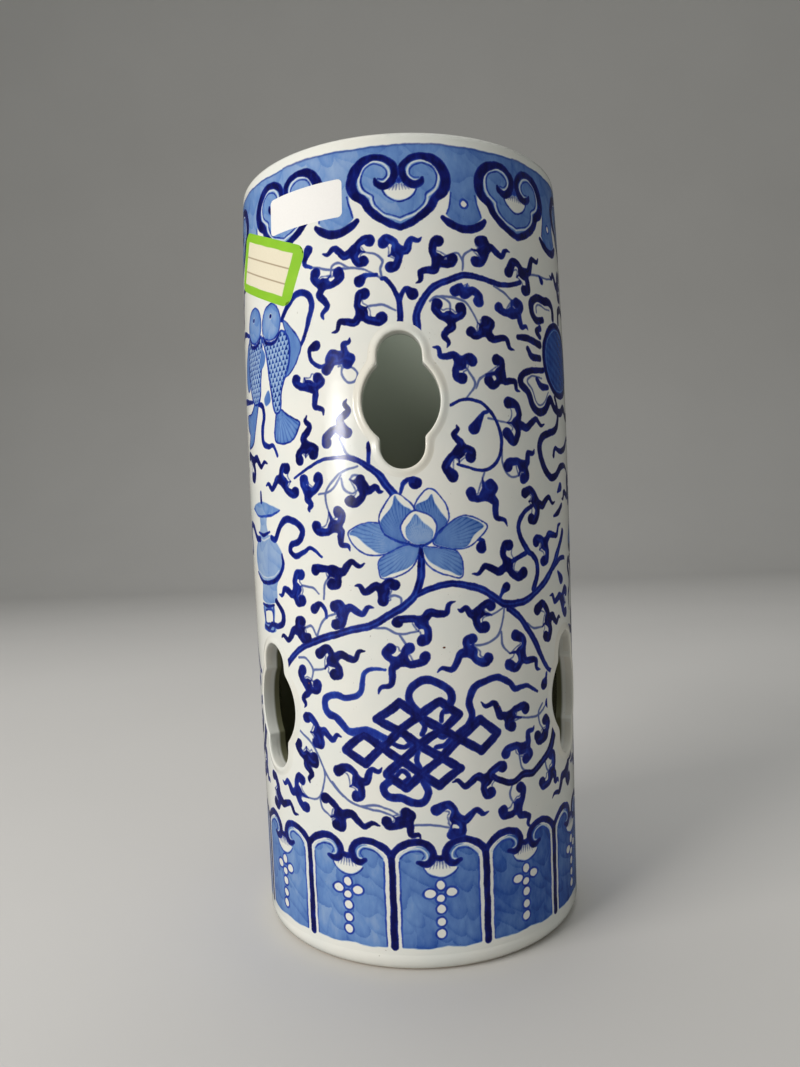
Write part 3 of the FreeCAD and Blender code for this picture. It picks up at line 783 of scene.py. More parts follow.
def disc_emblem(strip):
    """A jewelled disc on clouds, wound with ribbons."""
    def around(radius):
        return ring(71.5, 208.5, radius, 20)

    def streaks(s, z, field):
        return 0.8 + 0.05 * np.sin(0.9 * s + 2.1 * z) + 0.2 * np.exp(-field / 1.5)

    clouds = (
        ((59.0, 221.4), (54.8, 220.7), (52.2, 223), (52.2, 226.6), (55.4, 228.8), (60, 228.6), (64.6, 229),
         (67.6, 227.2), (68, 223.6)),
        ((75, 223.6), (75.6, 227.4), (79, 229.4), (84, 228.4), (89, 229), (91.6, 226), (90.6, 222),
         (86.6, 220.6)),
        ((57.5, 203.4), (49.8, 202.2), (45.1, 200.5), (44.5, 197.5), (48, 194.6), (50.4, 189.9),
         (53.9, 188.1), (58, 189.3), (62, 193.4), (66, 190.5), (72, 189.5), (77, 191.5), (82, 189),
         (87, 190), (91, 195), (95.5, 198), (94, 202), (86.5, 203.6)),
    )
    for points in clouds:
        brush(strip, points, (1.8, 2.6, 2.6, 2.2), 0.95)
    thin(strip, ((56.4, 200.4), (50.6, 200.4), (47.6, 198.6), (50.2, 195.8), (52.4, 191.8), (54.6, 190.6),
                 (57.4, 191.8), (60.8, 195.8)), 0.6)
    thin(strip, ((54.9, 223.4), (54.9, 225.6), (57, 226.6), (61, 226), (65, 226.2)), 0.6)
    brush(strip, ((43.9, 213.4), (49, 213.4), (56, 212.2)), (1.4, 2.1, 2.4), 0.95)
    brush(strip, ((48.6, 209.9), (50.9, 207.5), (55.5, 207.5)), (1.5, 2.3, 2.0), 0.95)
    brush(strip, ((56.6, 218.2), (54.4, 217), (56.4, 215)), (2.0, 1.6, 1.6), 0.9)
    brush(strip, ((53.3, 199.7), (56, 197.6), (60.6, 197.5)), (1.4, 2.2, 1.4), 0.8)
    fill(strip, around(13.4), streaks)
    brush(strip, around(13.0), (1.7, 1.7), 0.92, closed=True)
    bare(strip, around(11.3), (0.3, 0.3), closed=True, tint=0.4)
    brush(strip, ((66.6, 194.5), (68.8, 190.5), (68.6, 186), (65.6, 182.6), (60, 181.2), (55.4, 179.3),
                  (53.3, 175.6), (54.6, 170.9), (57.4, 167.2), (61.2, 165.2), (65.6, 166.4), (70, 169.3),
                  (76, 169.9), (81, 167)), (1.4, 2.0, 2.5, 2.7, 2.2, 0.8), 0.95)
    brush(strip, ((63.3, 173.1), (65.1, 175.8), (70, 175.2), (77, 177), (83, 181), (88, 180)),
          (1.3, 1.8, 1.9, 0.8), 0.9)
    brush(strip, ((62.1, 151.3), (66, 152.6), (70, 155.4)), (0.5, 1.8, 1.2), 0.9)


def ribbons(strip, s0, z0):
    """A pair of waving ribbons tied round the middle of an emblem."""
    path = ((2, 0), (6, 0.5), (9.5, 4), (12.5, 6), (14, 3), (11.5, -0.5), (11.5, -4.5), (14, -8),
            (12.5, -13))
    for ribbon in both_sides(s0, shifted(path, 0, z0)):
        brush(strip, ribbon, (1.4, 2.0, 2.0, 1.6, 0.4), 0.92)


def shaped(strip, s0, z0, points):
    """A washed shape with a fine dark outline, given round its own centre."""
    outline = shifted(points, s0, z0)
    fill(strip, outline, brushed(0.36, 0.56))
    brush(strip, outline, (0.2, 0.2), 0.8, closed=True)


def valance(strip, s0, z0, half, scallops):
    """A row of dark scallops with a bead under each."""
    pitch = 2 * half / scallops
    for k in range(scallops):
        x = s0 - half + (k + 0.5) * pitch
        brush(strip, [(x - pitch / 2, z0), (x, z0 - 2.2), (x + pitch / 2, z0)], (0.9, 1.7, 0.9), 0.95)
        ball(strip, x, z0 - 4.6, 0.7)


def parasol(strip, s0, z0):
    """The parasol: a ribbed dome with a fringe, on a pole with ribbons."""
    ribbons(strip, s0, z0 - 9)
    brush(strip, [(s0, z0 + 2), (s0, z0 - 23)], (1.3, 1.3), 0.9)
    dome = ((-11.5, 3), (-9, 8.5), (-4, 12.5), (0, 14), (4, 12.5), (9, 8.5), (11.5, 3), (0, 2))
    shaped(strip, s0, z0, dome)
    for x in (-6, -2, 2, 6):
        brush(strip, shifted(((0.2 * x, 13.4), (0.8 * x, 8.5), (x, 3)), s0, z0), (0.1, 0.1), 0.8)
    valance(strip, s0, z0 + 2.6, 11.5, 5)
    ball(strip, s0, z0 + 16.4, 1.7)
    brush(strip, [(s0, z0 + 16), (s0, z0 + 20.5)], (1.2, 0.2), 0.9)


def banner(strip, s0, z0):
    """The banner of victory: three fringed tiers on a pole, with ribbons at its sides."""
    knot_ribbons(strip, s0 - 2.5)
    for tie in (((-17, 1), (-12, 1.5), (-7, -1)), ((14, 2), (11, 0.5), (7, 0.5))):
        brush(strip, shifted(tie, s0, z0), (2.0, 1.8, 1.2), 0.8)
    brush(strip, [(s0, z0 + 14), (s0, z0 - 22)], (1.3, 1.3), 0.9)
    for drop, half in ((-13, 9.5), (-4, 8.5), (5, 7.5)):
        shaped(strip, s0, z0 + drop, ((-half, 0), (-half + 1.5, 6), (half - 1.5, 6), (half, 0)))
        for x in (-0.4, 0, 0.4):
            fold = ((x * half, 0), (x * half * 0.85, 6))
            brush(strip, shifted(fold, s0, z0 + drop), (0.1, 0.1), 0.8)
        valance(strip, s0, z0 + drop, half, 4)
    shaped(strip, s0, z0, ((-6, 11), (-3.5, 14.5), (0, 16), (3.5, 14.5), (6, 11)))
    ball(strip, s0, z0 + 18, 1.7)
    brush(strip, [(s0, z0 + 18), (s0, z0 + 22)], (1.2, 0.2), 0.9)


def wheel(strip, s0, z0):
    """The wheel of eight spokes, with a knob past the end of each and ribbons under it."""
    ribbons(strip, s0, z0 - 8)
    fill(strip, ring(s0, z0, 12.5, 15), brushed(0.3, 0.46))
    for hub, end, knob in zip(*(ring(s0, z0, radius, 45) for radius in (3, 11, 15.2))):
        brush(strip, [hub, end], (0.7, 1.8), 0.9)
        ball(strip, *knob, 1.3)
    for radius, width in ((12.2, 2.4), (3.4, 1.6)):
        brush(strip, ring(s0, z0, radius, 15), (width, width), 0.92, closed=True)


def conch(strip, s0, z0):
    """The conch shell: a pointed spiral with its mouth left bare."""
    ribbons(strip, s0, z0 - 4)
    shell = ((1, 17), (5, 13), (8.5, 7), (10, -1), (7, -9), (1, -14), (-5, -17), (-4, -10), (-9, -4),
             (-9.5, 4), (-6.5, 11), (-2.5, 15))
    shaped(strip, s0, z0, shell)
    for whorl in (((-3.4, 14), (1, 12.4), (4.6, 13.4)), ((-6.8, 10.4), (0.5, 7.6), (7.6, 9)),
                  ((-9.4, 4), (0, 0.8), (9.6, 2.4))):
        brush(strip, shifted(whorl, s0, z0), (0.3, 0.9, 0.3), 0.85)
    mouth = shifted(((-4, -2), (2, -3), (4.4, -7), (0.5, -11.5), (-3.4, -13.6), (-2.6, -8)), s0, z0)
    bare(strip, mouth)
    brush(strip, mouth, (0.5, 0.5), 0.85, closed=True)


# The border of cloud heads under the rim; each half shape is given from its own middle line
HEADS = 9
HEAD_PITCH = GIRTH / HEADS
HEAD_S = 2.0
HEAD_HALF = ((0.8, 269), (4.4, 271), (8, 271.6), (12, 270.3), (15, 267.2), (16, 263.3), (14.8, 259.9),
             (11.8, 257.7), (10.3, 254.6), (7, 251.6), (3, 249.4))
HEAD_BARE_CURL = ((6.6, 263.4), (4.8, 263.5), (3.1, 265.2), (3.2, 267.4), (5.2, 269.5), (8.2, 270.1),
                  (11.4, 268.9), (13.3, 266), (13.3, 263), (12.3, 260.6), (9.6, 258.5), (9.4, 257.2),
                  (8.4, 254.9), (5.6, 252.4), (0, 250.5))
HEAD_FINE_CURL = ((6.9, 264.4), (5.2, 264.3), (3.9, 265.4), (4.0, 267.1), (5.7, 268.7), (8.2, 269.3),
                  (11, 268.2), (12.6, 265.8), (12.6, 263.1), (11.6, 261.1), (8.9, 259), (8.6, 257.4),
                  (7.7, 255.4), (5.2, 253.1), (0, 251.3))
HEAD_EDGE = ((8.1, 264.3), (7.5, 262.9), (5, 261.9), (2.6, 263.2), (1.25, 265.8), (1.6, 268.6),
             (4.4, 270.9), (8, 271.6), (12, 270.4), (15, 267.2), (16, 263.3), (14.8, 259.9),
             (11.9, 257.6), (10.3, 254.6), (7, 251.5), (3, 249.2), (-0.2, 248.1))
HEAD_EDGE_WIDTHS = (0.6, 1.7, 2.2, 2.3, 2.1, 2.0, 2.0, 2.0, 2.8, 3.3, 3.4, 3.1, 2.5, 2.3, 2.2, 2.1, 1.8)
HEAD_CUP = ((-4.8, 260.9), (-2, 262), (0, 262.7), (2, 262), (5.4, 260.8), (4.2, 258.8), (2.4, 257.5),
            (0.2, 257), (-2.2, 257.7), (-4, 259))
HEAD_CUP_EDGE = ((-5.4, 260.4), (-4.4, 258.8), (-2.3, 257.3), (0.2, 256.5), (2.8, 257.3), (4.8, 258.7),
                 (5.8, 260.4))
PENDANT = ((-22.3, 275.4), (22.3, 275.4), (22.3, 262), (4.9, 262), (5.2, 257), (6.6, 252.2), (4.5, 250),
           (0, 248.4), (-4.3, 250), (-6.4, 252.2), (-5.0, 257), (-4.7, 262), (-22.3, 262))
PENDANT_BARE = ((-6, 251.2), (-3.6, 249.6), (0, 248.8), (3.6, 249.6), (6, 251.2))
PENDANT_CRESCENT = ((-7.6, 251.1), (-5.6, 249.6), (-3.2, 248.4), (0, 247.8), (3.4, 248.4), (5.8, 249.6),
                    (7.7, 251.2))


def ruyi_border(strip):
    """Cloud heads hanging from a washed band, with a bead pendant between each pair."""
    centres = [HEAD_S + k * HEAD_PITCH for k in range(HEADS)]
    for k, c in enumerate(centres):
        mid = c + HEAD_PITCH / 2
        fill(strip, shifted(PENDANT, mid), brushed(0.4, 0.6), smooth=False)
        upper = [(mid - 22 + x, 275.3 + 0.25 * math.sin(1.7 * (k + x))) for x in np.linspace(0, 44, 12)]
        thin(strip, upper, 0.5)
        for side in both_sides(mid, ((4.3, 259.5), (5.0, 256.5), (6.2, 252.6))):
            brush(strip, side, (0.1, 0.2), 0.7)
        bare(strip, shifted(PENDANT_BARE, mid), (0.5, 0.5), tint=0.12)
        brush(strip, shifted(PENDANT_CRESCENT, mid), (1.3, 2.2, 2.4, 2.4, 2.4, 2.2, 1.3), 0.9)
        ball(strip, mid, 256.3, 1.55, 0.6)
        bare(strip, shifted(((-1.4, 256.3), (0, 257.7), (1.4, 256.3), (0, 254.9)), mid))
    for c in centres:
        left, right = both_sides(c, HEAD_HALF)
        fill(strip, right + [(c, 248.4)] + left[::-1], brushed(0.42, 0.58))
        for curl in both_sides(c, HEAD_BARE_CURL):
            bare(strip, curl, (0.6, 0.7, 0.6), tint=0.1)
        for curl in both_sides(c, HEAD_FINE_CURL):
            brush(strip, curl, (0.05, 0.1, 0.05), 0.7)
        bare(strip, shifted(HEAD_CUP, c))
        for x in np.arange(-2.4, 2.5, 0.8):
            brush(strip, [(c + x, 262.4 - abs(x) * 0.3), (c + 1.35 * x, 260.6)], (0.5, 0.1), layer="fine")
        brush(strip, shifted(HEAD_CUP_EDGE, c), (0.1, 0.15, 0.1), 0.75)
        ball(strip, c, 263.6, 0.8, 0.6)
        for edge in both_sides(c, HEAD_EDGE):
            brush(strip, edge, HEAD_EDGE_WIDTHS, 0.9)


# The border of upright panels round the foot, given from each panel's middle line
LAPPETS = 12
LAPPET_PITCH = GIRTH / LAPPETS
LAPPET_S = 7.2
PANEL_HALF = ((13.9, 8.6), (13.9, 38.6), (12, 41.6), (7.5, 43), (3.5, 42), (1.6, 39.4))
PANEL_FOOT = ((8, 8.2), (2, 8.7), (-5, 8.1))
PANEL_BARE_CURL = ((14.4, 38.6), (12.6, 40.6), (9.8, 42.1), (7, 42.2), (4.7, 40.7), (4.4, 38.7), (6.2, 37.8))
PANEL_FINE_CURL = ((13.3, 38.8), (11.4, 40.6), (8.8, 41.4), (6.4, 41.1), (5.4, 39.8), (6, 38.7))
PANEL_CUP = ((-2, 38.3), (-3.4, 36.4), (-5.4, 35.9), (-4.3, 34.1), (-2, 32.8), (0.2, 32.3), (2.6, 32.8),
             (4.6, 34), (5.8, 35.4), (3.5, 36.4), (2.4, 38.3), (0.2, 37.8))
PANEL_CUP_EDGE = ((-5.6, 35.4), (-4.2, 33.5), (-2, 32.3), (0.2, 31.9), (2.6, 32.3), (4.6, 33.4), (6, 35))
PANEL_SCROLL = ((LAPPET_PITCH / 2 + 0.2, 39.5), (14.2, 42.2), (11, 43.9), (7.6, 44.4), (4, 43.2),
                (2.2, 40.6), (2.8, 38), (4.8, 36.8), (7.3, 37.6))
# Beads: across, height, half width, half height
PANEL_BEADS = ((0.1, 29.5, 1.75, 1.75), (-3.8, 26.9, 2.15, 1.6), (3.8, 27.1, 2.1, 1.6),
               (-0.1, 25.1, 1.7, 1.5), (0.1, 21.4, 1.8, 1.7), (-0.1, 17.1, 1.7, 1.5),
               (-0.3, 13.2, 1.75, 1.7))
BEAD_EDGE = 0.2


def bead_string(strip, c):
    """Bare beads, each with a dark edge."""
    for x, z, a, b in PANEL_BEADS:
        for part, s, pz in strip.windows((c + x, c + x, z, z), 4):
            inside = 1 - np.hypot((s - c - x) / (a + BEAD_EDGE), (pz - z) / (b + BEAD_EDGE))
            lay(strip, part, inside * (b + BEAD_EDGE), 0.62)
    for x, z, a, b in PANEL_BEADS:
        turns = np.radians(np.arange(0, 360, 30))
        bare(strip, [(c + x + a * math.cos(t), z + b * math.sin(t)) for t in turns])


def lappet_border(strip):
    """Upright panels round the foot, each with two scrolled shoulders and a string of beads."""
    for k in range(LAPPETS):
        c = LAPPET_S + k * LAPPET_PITCH
        left, right = both_sides(c, PANEL_HALF)
        fill(strip, left + right[::-1] + shifted(PANEL_FOOT, c), brushed(0.46, 0.72), smooth=False)
        for curl in both_sides(c, PANEL_BARE_CURL):
            bare(strip, curl, (0.9, 0.6, 0.5), tint=0.1)
        for curl in both_sides(c, PANEL_FINE_CURL):
            brush(strip, curl, (0.05, 0.1, 0.05), 0.65)
        bare(strip, shifted(PANEL_CUP, c))
        for x in np.arange(-2.7, 2.8, 0.9):
            brush(strip, [(c + x, 37.6), (c + 1.3 * x, 35.2)], (0.5, 0.1), layer="fine")
        brush(strip, shifted(PANEL_CUP_EDGE, c), (0.05, 0.1, 0.05), 0.7)
        bead_string(strip, c)
        for scroll in both_sides(c, PANEL_SCROLL):
            brush(strip, scroll, (2.1, 2.1, 2.0, 2.0, 2.1, 2.3, 2.2, 1.9, 1.1), 0.85)
        brush(strip, [(c - 2.4, 39.3), (c + 0.1, 38.7), (c + 2.6, 39.3)], (1.8, 1.5, 1.8), 0.8)
        gap = c + LAPPET_PITCH / 2
        lines = both_sides(gap, ((2.7, 9), (2.7, 24), (2.7, 37.5)))
        spaces = both_sides(gap, ((1.8, 8), (1.8, 24), (2.0, 38.4)))
        for line, space in zip(lines, spaces):
            brush(strip, line, (0.1, 0.2, 0.1), 0.6)
            bare(strip, space, (1.3, 1.2, 1.3))
        brush(strip, [(gap, 40.5), (gap + 0.1, 24), (gap, 9)], (2.1, 2.0, 2.2), 0.95)


# Specks: place, half length and half height
IRON_SPECKS = ((67.0, 65.2, 2.0, 0.7), (11.2, 109.2, 0.45, 0.35), (-38.2, 96.4, 0.3, 0.3),
               (30.2, 87.5, 0.25, 0.25), (-8.5, 182.5, 0.25, 0.3), (131.0, 152.0, 0.4, 0.3),
               (-120.0, 61.0, 0.3, 0.4))


def iron_specks(strip):
    """Rust-brown specks where iron in the clay burnt through the glaze."""
    for s, z, long, tall in IRON_SPECKS:
        for part, ps, pz in strip.windows((s, s, z, z), 4):
            near = (1 - np.hypot((ps - s) / long, (pz - z) / tall)) * min(long, tall)
            strip.iron[part] = np.maximum(strip.iron[part], near)


def decorate(strip):
    """Everything that is painted on the wall, in the order that it is laid."""
    ruyi_border(strip)
    lappet_border(strip)
    scrollwork(strip)
    scrollwork(strip, UNIT, SCROLL_MID - 62, SCROLL_MID + 66)
    scrollwork(strip, -UNIT, SCROLL_MID - 66, SCROLL_MID + 53)
    for k in range(3):
        lotus(strip, k * UNIT)
    knot(strip)
    knot(strip, -UNIT)
    loose_leaves(strip)
    banner(strip, UNIT + 2.5, 78)
    parasol(strip, 91, 138)
    wheel(strip, 203, 208)
    conch(strip, 206, 138)
    fishes(strip)
    vase(strip)
    disc_emblem(strip)
    iron_specks(strip)


# Shape of the wall, as in the part's source
MM = 0.001
FOOT_TOP_Z = 6.0
NECK_Z = 278.0
CONTROL_RADII = (61.45, 62.4, 65.8, 61.8)
HALF_HEIGHT = 22.75
HALF_WIDTH = 13.2
LOBE = 7.6
CUSP = 12.2
BULGE = HALF_WIDTH - LOBE
SIDE_RADIUS = (CUSP ** 2 + BULGE ** 2) / (2 * BULGE)
SIDE_CENTRE = SIDE_RADIUS - HALF_WIDTH
RISE = HALF_HEIGHT - LOBE
UPPER_ROW_Z = 191.4
LOWER_ROW_Z = 86.0
OPENINGS = {
    "upper_front": (0.0, UPPER_ROW_Z),
    "upper_right": (120.0, UPPER_ROW_Z),
    "upper_left": (-120.0, UPPER_ROW_Z),
    "lower_right": (64.0, LOWER_ROW_Z),
    "lower_left": (-54.0, LOWER_ROW_Z),
    "lower_back": (185.0, LOWER_ROW_Z),
}


def face_radius(z):
    """Radius of the swelling outer face at height z, and its slope."""
    t = (np.asarray(z, float) - FOOT_TOP_Z) / (NECK_Z - FOOT_TOP_Z)
    a, b, c, d = CONTROL_RADII
    radius = a * (1 - t) ** 3 + 3 * b * t * (1 - t) ** 2 + 3 * c * t ** 2 * (1 - t) + d * t ** 3
    slope = 3 * ((b - a) * (1 - t) ** 2 + 2 * (c - b) * t * (1 - t) + (d - c) * t ** 2)
    return radius, slope / (NECK_Z - FOOT_TOP_Z)


def on_wall(angle, z, lift):
    """Points at an angle round the wall, lifted off its face, and the normals there (mm)."""
    radius, slope = face_radius(z)
    long = np.sqrt(1 + slope ** 2)
    nx, nz = 1 / long, -slope / long
    reach = radius + lift * nx
    points = np.stack([reach * np.sin(angle), -reach * np.cos(angle), z + lift * nz], -1)
    normals = np.stack([nx * np.sin(angle), -nx * np.cos(angle), nz + 0 * angle], -1)
    return points, normals


def outline(grow, count):
    """The quatrefoil widened by grow: count points (across, up), evenly spaced, cusps softened."""
    side_radius = SIDE_RADIUS + grow
    flank = LOBE + grow
    side = np.linspace(0, math.acos((flank + SIDE_CENTRE) / side_radius), 40)
    lobe = np.linspace(0, math.pi / 2, 40)
    x = np.r_[side_radius * np.cos(side) - SIDE_CENTRE, flank * np.cos(lobe)]
    y = np.r_[side_radius * np.sin(side), RISE + flank * np.sin(lobe)]
    quarter = np.column_stack([x, y])
    half = np.vstack([quarter, (quarter * (-1, 1))[::-1][1:]])
    whole = np.vstack([half, (half * (1, -1))[::-1][1:-1]])
    closed = np.vstack([whole, whole[:1]])
    run = np.r_[0, np.cumsum(np.hypot(*np.diff(closed, axis=0).T))]
    at = np.linspace(0, run[-1], count, endpoint=False)
    even = np.column_stack([np.interp(at, run, closed[:, 0]), np.interp(at, run, closed[:, 1])])
    for _ in range(10):
        even = 0.5 * even + 0.25 * (np.roll(even, 1, 0) + np.roll(even, -1, 0))
    return even


def opening_depth(across, up):
    """How deep a place lies inside a quatrefoil opening, negative outside."""
    sides = SIDE_RADIUS - np.hypot(np.abs(across) + SIDE_CENTRE, up)
    ends = LOBE - np.hypot(across, np.maximum(np.abs(up) - RISE, 0))
    return np.maximum(sides, ends)


def new_piece(name, points, faces, normals=None, uv=None):
    """A mesh object in metres that rides on the stand."""
    mesh = bpy.data.meshes.new(name)
    mesh.from_pydata((points * MM).tolist(), [], faces)
    mesh.shade_smooth()
    if uv is not None:
        layer = mesh.uv_layers.new(name="OFBake")
        index = np.empty(len(mesh.loops), np.int32)
        mesh.loops.foreach_get("vertex_index", index)
        layer.data.foreach_set("uv", uv[index].astype(np.float32).ravel())
    if normals is not None:
        mesh.normals_split_custom_set_from_vertices(normals.tolist())
    piece = bpy.data.objects.new(name, mesh)
    bpy.context.scene.collection.objects.link(piece)
    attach(piece, "root")
    return piece


def give(piece, name, values):
    """Stores one number for each vertex, for the materials to read."""
    attribute = piece.data.attributes.new(name, "FLOAT", "POINT")
    attribute.data.foreach_set("value", values.astype(np.float32).ravel())


def grid_faces(rows, cols, keep=None):
    """The four-sided faces between rows and columns of points, or only those that are kept."""
    index = np.arange(rows * cols).reshape(rows, cols)
    quads = np.stack([index[:-1, :-1], index[:-1, 1:], index[1:, 1:], index[1:, :-1]], -1)
    quads = quads.reshape(-1, 4) if keep is None else quads[keep]
    return quads.tolist()


# How far the painted skin stands off the solid wall, and how far the lips reach over its holes
PAINT_LIFT = 0.03
LIP_COVERS = 0.9


def painted_face(name, first, last, step):
    """The painted skin of the wall between two azimuths in degrees, open where it is pierced."""
    s_low = math.radians(first) * PAINT_RADIUS
    s_high = math.radians(last) * PAINT_RADIUS
    strip = Strip(s_low, s_high, step)
    decorate(strip)
    flat_s, flat_z = np.meshgrid(strip.s, strip.z)
    angle = flat_s / PAINT_RADIUS
    points, normals = on_wall(angle, flat_z, PAINT_LIFT)
    radius, _ = face_radius(flat_z)
    pierced = np.zeros(flat_s.shape, bool)
    for azimuth, centre_z in OPENINGS.values():
        turn = (angle - math.radians(azimuth) + math.pi) % (2 * math.pi) - math.pi
        across = np.where(np.abs(turn) < 1, radius * np.sin(turn), 99)
        pierced |= opening_depth(across, flat_z - centre_z) > -LIP_COVERS
    rows, cols = flat_s.shape
    keep = ~(pierced[:-1, :-1] | pierced[:-1, 1:] | pierced[1:, 1:] | pierced[1:, :-1])
    uv = np.stack([(flat_s - s_low) / (s_high - s_low),
                   (flat_z - flat_z.min()) / (flat_z.max() - flat_z.min())], -1)
    piece = new_piece(name, points.reshape(-1, 3), grid_faces(rows, cols, keep),
                      normals.reshape(-1, 3), uv.reshape(-1, 2))
    give(piece, "ink", np.clip(strip.ink, -1, 1.5))
    give(piece, "fine", np.clip(strip.fine, -1, 1))
    give(piece, "wash", strip.wash)
    give(piece, "depth", strip.depth)
    give(piece, "iron", np.clip(strip.iron, -1, 1))
    return piece


# Section of a lip: how far outside the opening's edge, and how far proud of the wall
LIP_SECTION = (
    (-0.03, -2.5), (-0.03, -0.9), (0.0, -0.35), (0.06, 0.04), (0.2, 0.24), (0.42, 0.36), (0.74, 0.42),
    (1.08, 0.42), (1.42, 0.36), (1.76, 0.26), (2.1, 0.16), (2.45, 0.07), (2.8, 0.02), (3.1, 0.0),
)
LIP_COUNT = 260
LIP_LIFT = 0.02


def opening_lip(place, azimuth, centre_z):
    """The soft lip round an opening, blended into the wall like wiped clay."""
    rings = []
    for grow, proud in LIP_SECTION:
        flat = outline(grow, LIP_COUNT)
        z = centre_z + flat[:, 1]
        radius, _ = face_radius(z)
        reach = radius + proud + LIP_LIFT
        angle = math.radians(azimuth) + np.arcsin(flat[:, 0] / reach)
        rings.append(np.stack([reach * np.sin(angle), -reach * np.cos(angle), z], -1))
    points = np.stack(rings)
    rows, cols = points.shape[:2]
    index = np.arange(rows * cols).reshape(rows, cols)
    right = np.roll(index, -1, axis=1)
    quads = np.stack([index[:-1], right[:-1], right[1:], index[1:]], -1).reshape(-1, 4)
    piece = new_piece(f"lip_{place}", points.reshape(-1, 3), quads[:, ::-1].tolist())
    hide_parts(f"opening_lip_{place}")
    return piece


def sticker(name, node, azimuth, z, length, width, corner, tilt, lift):
    """A paper sticker that follows the curve of the wall."""
    across = np.linspace(-length / 2, length / 2, int(length * 2.5) + 1)
    up = np.linspace(-width / 2, width / 2, int(width * 2.5) + 1)
    u, v = np.meshgrid(across, up)
    # Points outside the arcs of the rounded corners are drawn in to them
    cx, cy = length / 2 - corner, width / 2 - corner
    dx, dy = np.maximum(np.abs(u) - cx, 0), np.maximum(np.abs(v) - cy, 0)
    over = np.maximum(np.hypot(dx, dy), 1e-9)
    shrink = np.where(over > corner, np.maximum(dx, dy) / over, 1.0)
    u2 = np.where(dx > 0, np.sign(u) * (cx + dx * shrink), u)
    v2 = np.where(dy > 0, np.sign(v) * (cy + dy * shrink), v)
    edge = np.maximum(np.abs(u) / (length / 2), np.abs(v) / (width / 2))
    turn = math.radians(tilt)
    flat_x = u2 * math.cos(turn) - v2 * math.sin(turn)
    flat_z = z + u2 * math.sin(turn) + v2 * math.cos(turn)
    radius, _ = face_radius(flat_z)
    angle = math.radians(azimuth) + np.arcsin(np.clip(flat_x / radius, -1, 1))
    height = np.where(edge > 0.999, 0.03, lift)
    points, normals = on_wall(angle, flat_z, height)
    uv = np.stack([(u + length / 2) / length, (v + width / 2) / width], -1)
    rows, cols = u.shape
    piece = new_piece(name, points.reshape(-1, 3), grid_faces(rows, cols), normals.reshape(-1, 3),
                      uv.reshape(-1, 2))
    give(piece, "along", u / (length / 2))
    give(piece, "upward", v / (width / 2))
    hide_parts(node)
    return piece


# Materials
def srgb(r, g, b):
    """A colour written in 0 to 255 as the shader's linear values."""
    linear = [((c / 255 + 0.055) / 1.055) ** 2.4 if c > 10 else c / 255 / 12.92 for c in (r, g, b)]
    return (*linear, 1.0)


class Nodes:
    """A short way to write a node tree."""

    def __init__(self, tree):
        self.tree = tree

    def add(self, kind, **values):
        node = self.tree.nodes.new(kind)
        for key, value in values.items():
            setattr(node, key, value)
        return node

    def put(self, value, socket):
        if isinstance(value, bpy.types.NodeSocket):
            self.tree.links.new(value, socket)
        elif value is not None:
            socket.default_value = value

    def math(self, operation, a, b=None, c=None, clamp=False):
        node = self.add("ShaderNodeMath", operation=operation, use_clamp=clamp)
        for value, socket in zip((a, b, c), node.inputs):
            self.put(value, socket)
        return node.outputs[0]

    def swing(self, noise, amount):
        """A noise as a swing to both sides of zero."""
        return self.math("MULTIPLY", self.math("SUBTRACT", noise, 0.5), amount)

    def mix(self, factor, a, b, mode="MIX"):
        node = self.add("ShaderNodeMix", data_type="RGBA", blend_type=mode)
        self.put(factor, node.inputs[0])
        self.put(a, node.inputs[6])
        self.put(b, node.inputs[7])
        return node.outputs[2]

    def noise(self, vector, scale, detail, rough=0.5):
        node = self.add("ShaderNodeTexNoise")
        self.put(vector, node.inputs["Vector"])
        node.inputs["Scale"].default_value = scale
        node.inputs["Detail"].default_value = detail
        node.inputs["Roughness"].default_value = rough
        return node.outputs["Fac"]

    def stretch(self, value, low, high, to_low=0.0, to_high=1.0):
        """A soft step from one value to another."""
        node = self.add("ShaderNodeMapRange", interpolation_type="SMOOTHSTEP")
        for v, socket in zip((value, low, high, to_low, to_high), node.inputs):
            self.put(v, socket)
        return node.outputs[0]

    def ramp(self, value, stops):
        node = self.add("ShaderNodeValToRGB")
        self.put(value, node.inputs[0])
        elements = node.color_ramp.elements
        while len(elements) < len(stops):
            elements.new(0.5)
        for element, (place, colour) in zip(elements, stops):
            element.position = place
            element.color = colour
        return node.outputs[0]

    def attribute(self, name):
        return self.add("ShaderNodeAttribute", attribute_name=name).outputs["Fac"]

    def scaled(self, vector, factors):
        node = self.add("ShaderNodeVectorMath", operation="MULTIPLY")
        self.put(vector, node.inputs[0])
        node.inputs[1].default_value = factors
        return node.outputs[0]


def new_group(name, inputs, outputs):
    """A shared effect with named inputs and outputs."""
    group = bpy.data.node_groups.new(name, "ShaderNodeTree")
    kinds = {"value": "NodeSocketFloat", "colour": "NodeSocketColor", "vector": "NodeSocketVector"}
    for socket, kind in inputs:
        group.interface.new_socket(socket, in_out="INPUT", socket_type=kinds[kind])
    for socket, kind in outputs:
        group.interface.new_socket(socket, in_out="OUTPUT", socket_type=kinds[kind])
    nodes = Nodes(group)
    return group, nodes, nodes.add("NodeGroupInput").outputs, nodes.add("NodeGroupOutput").inputs


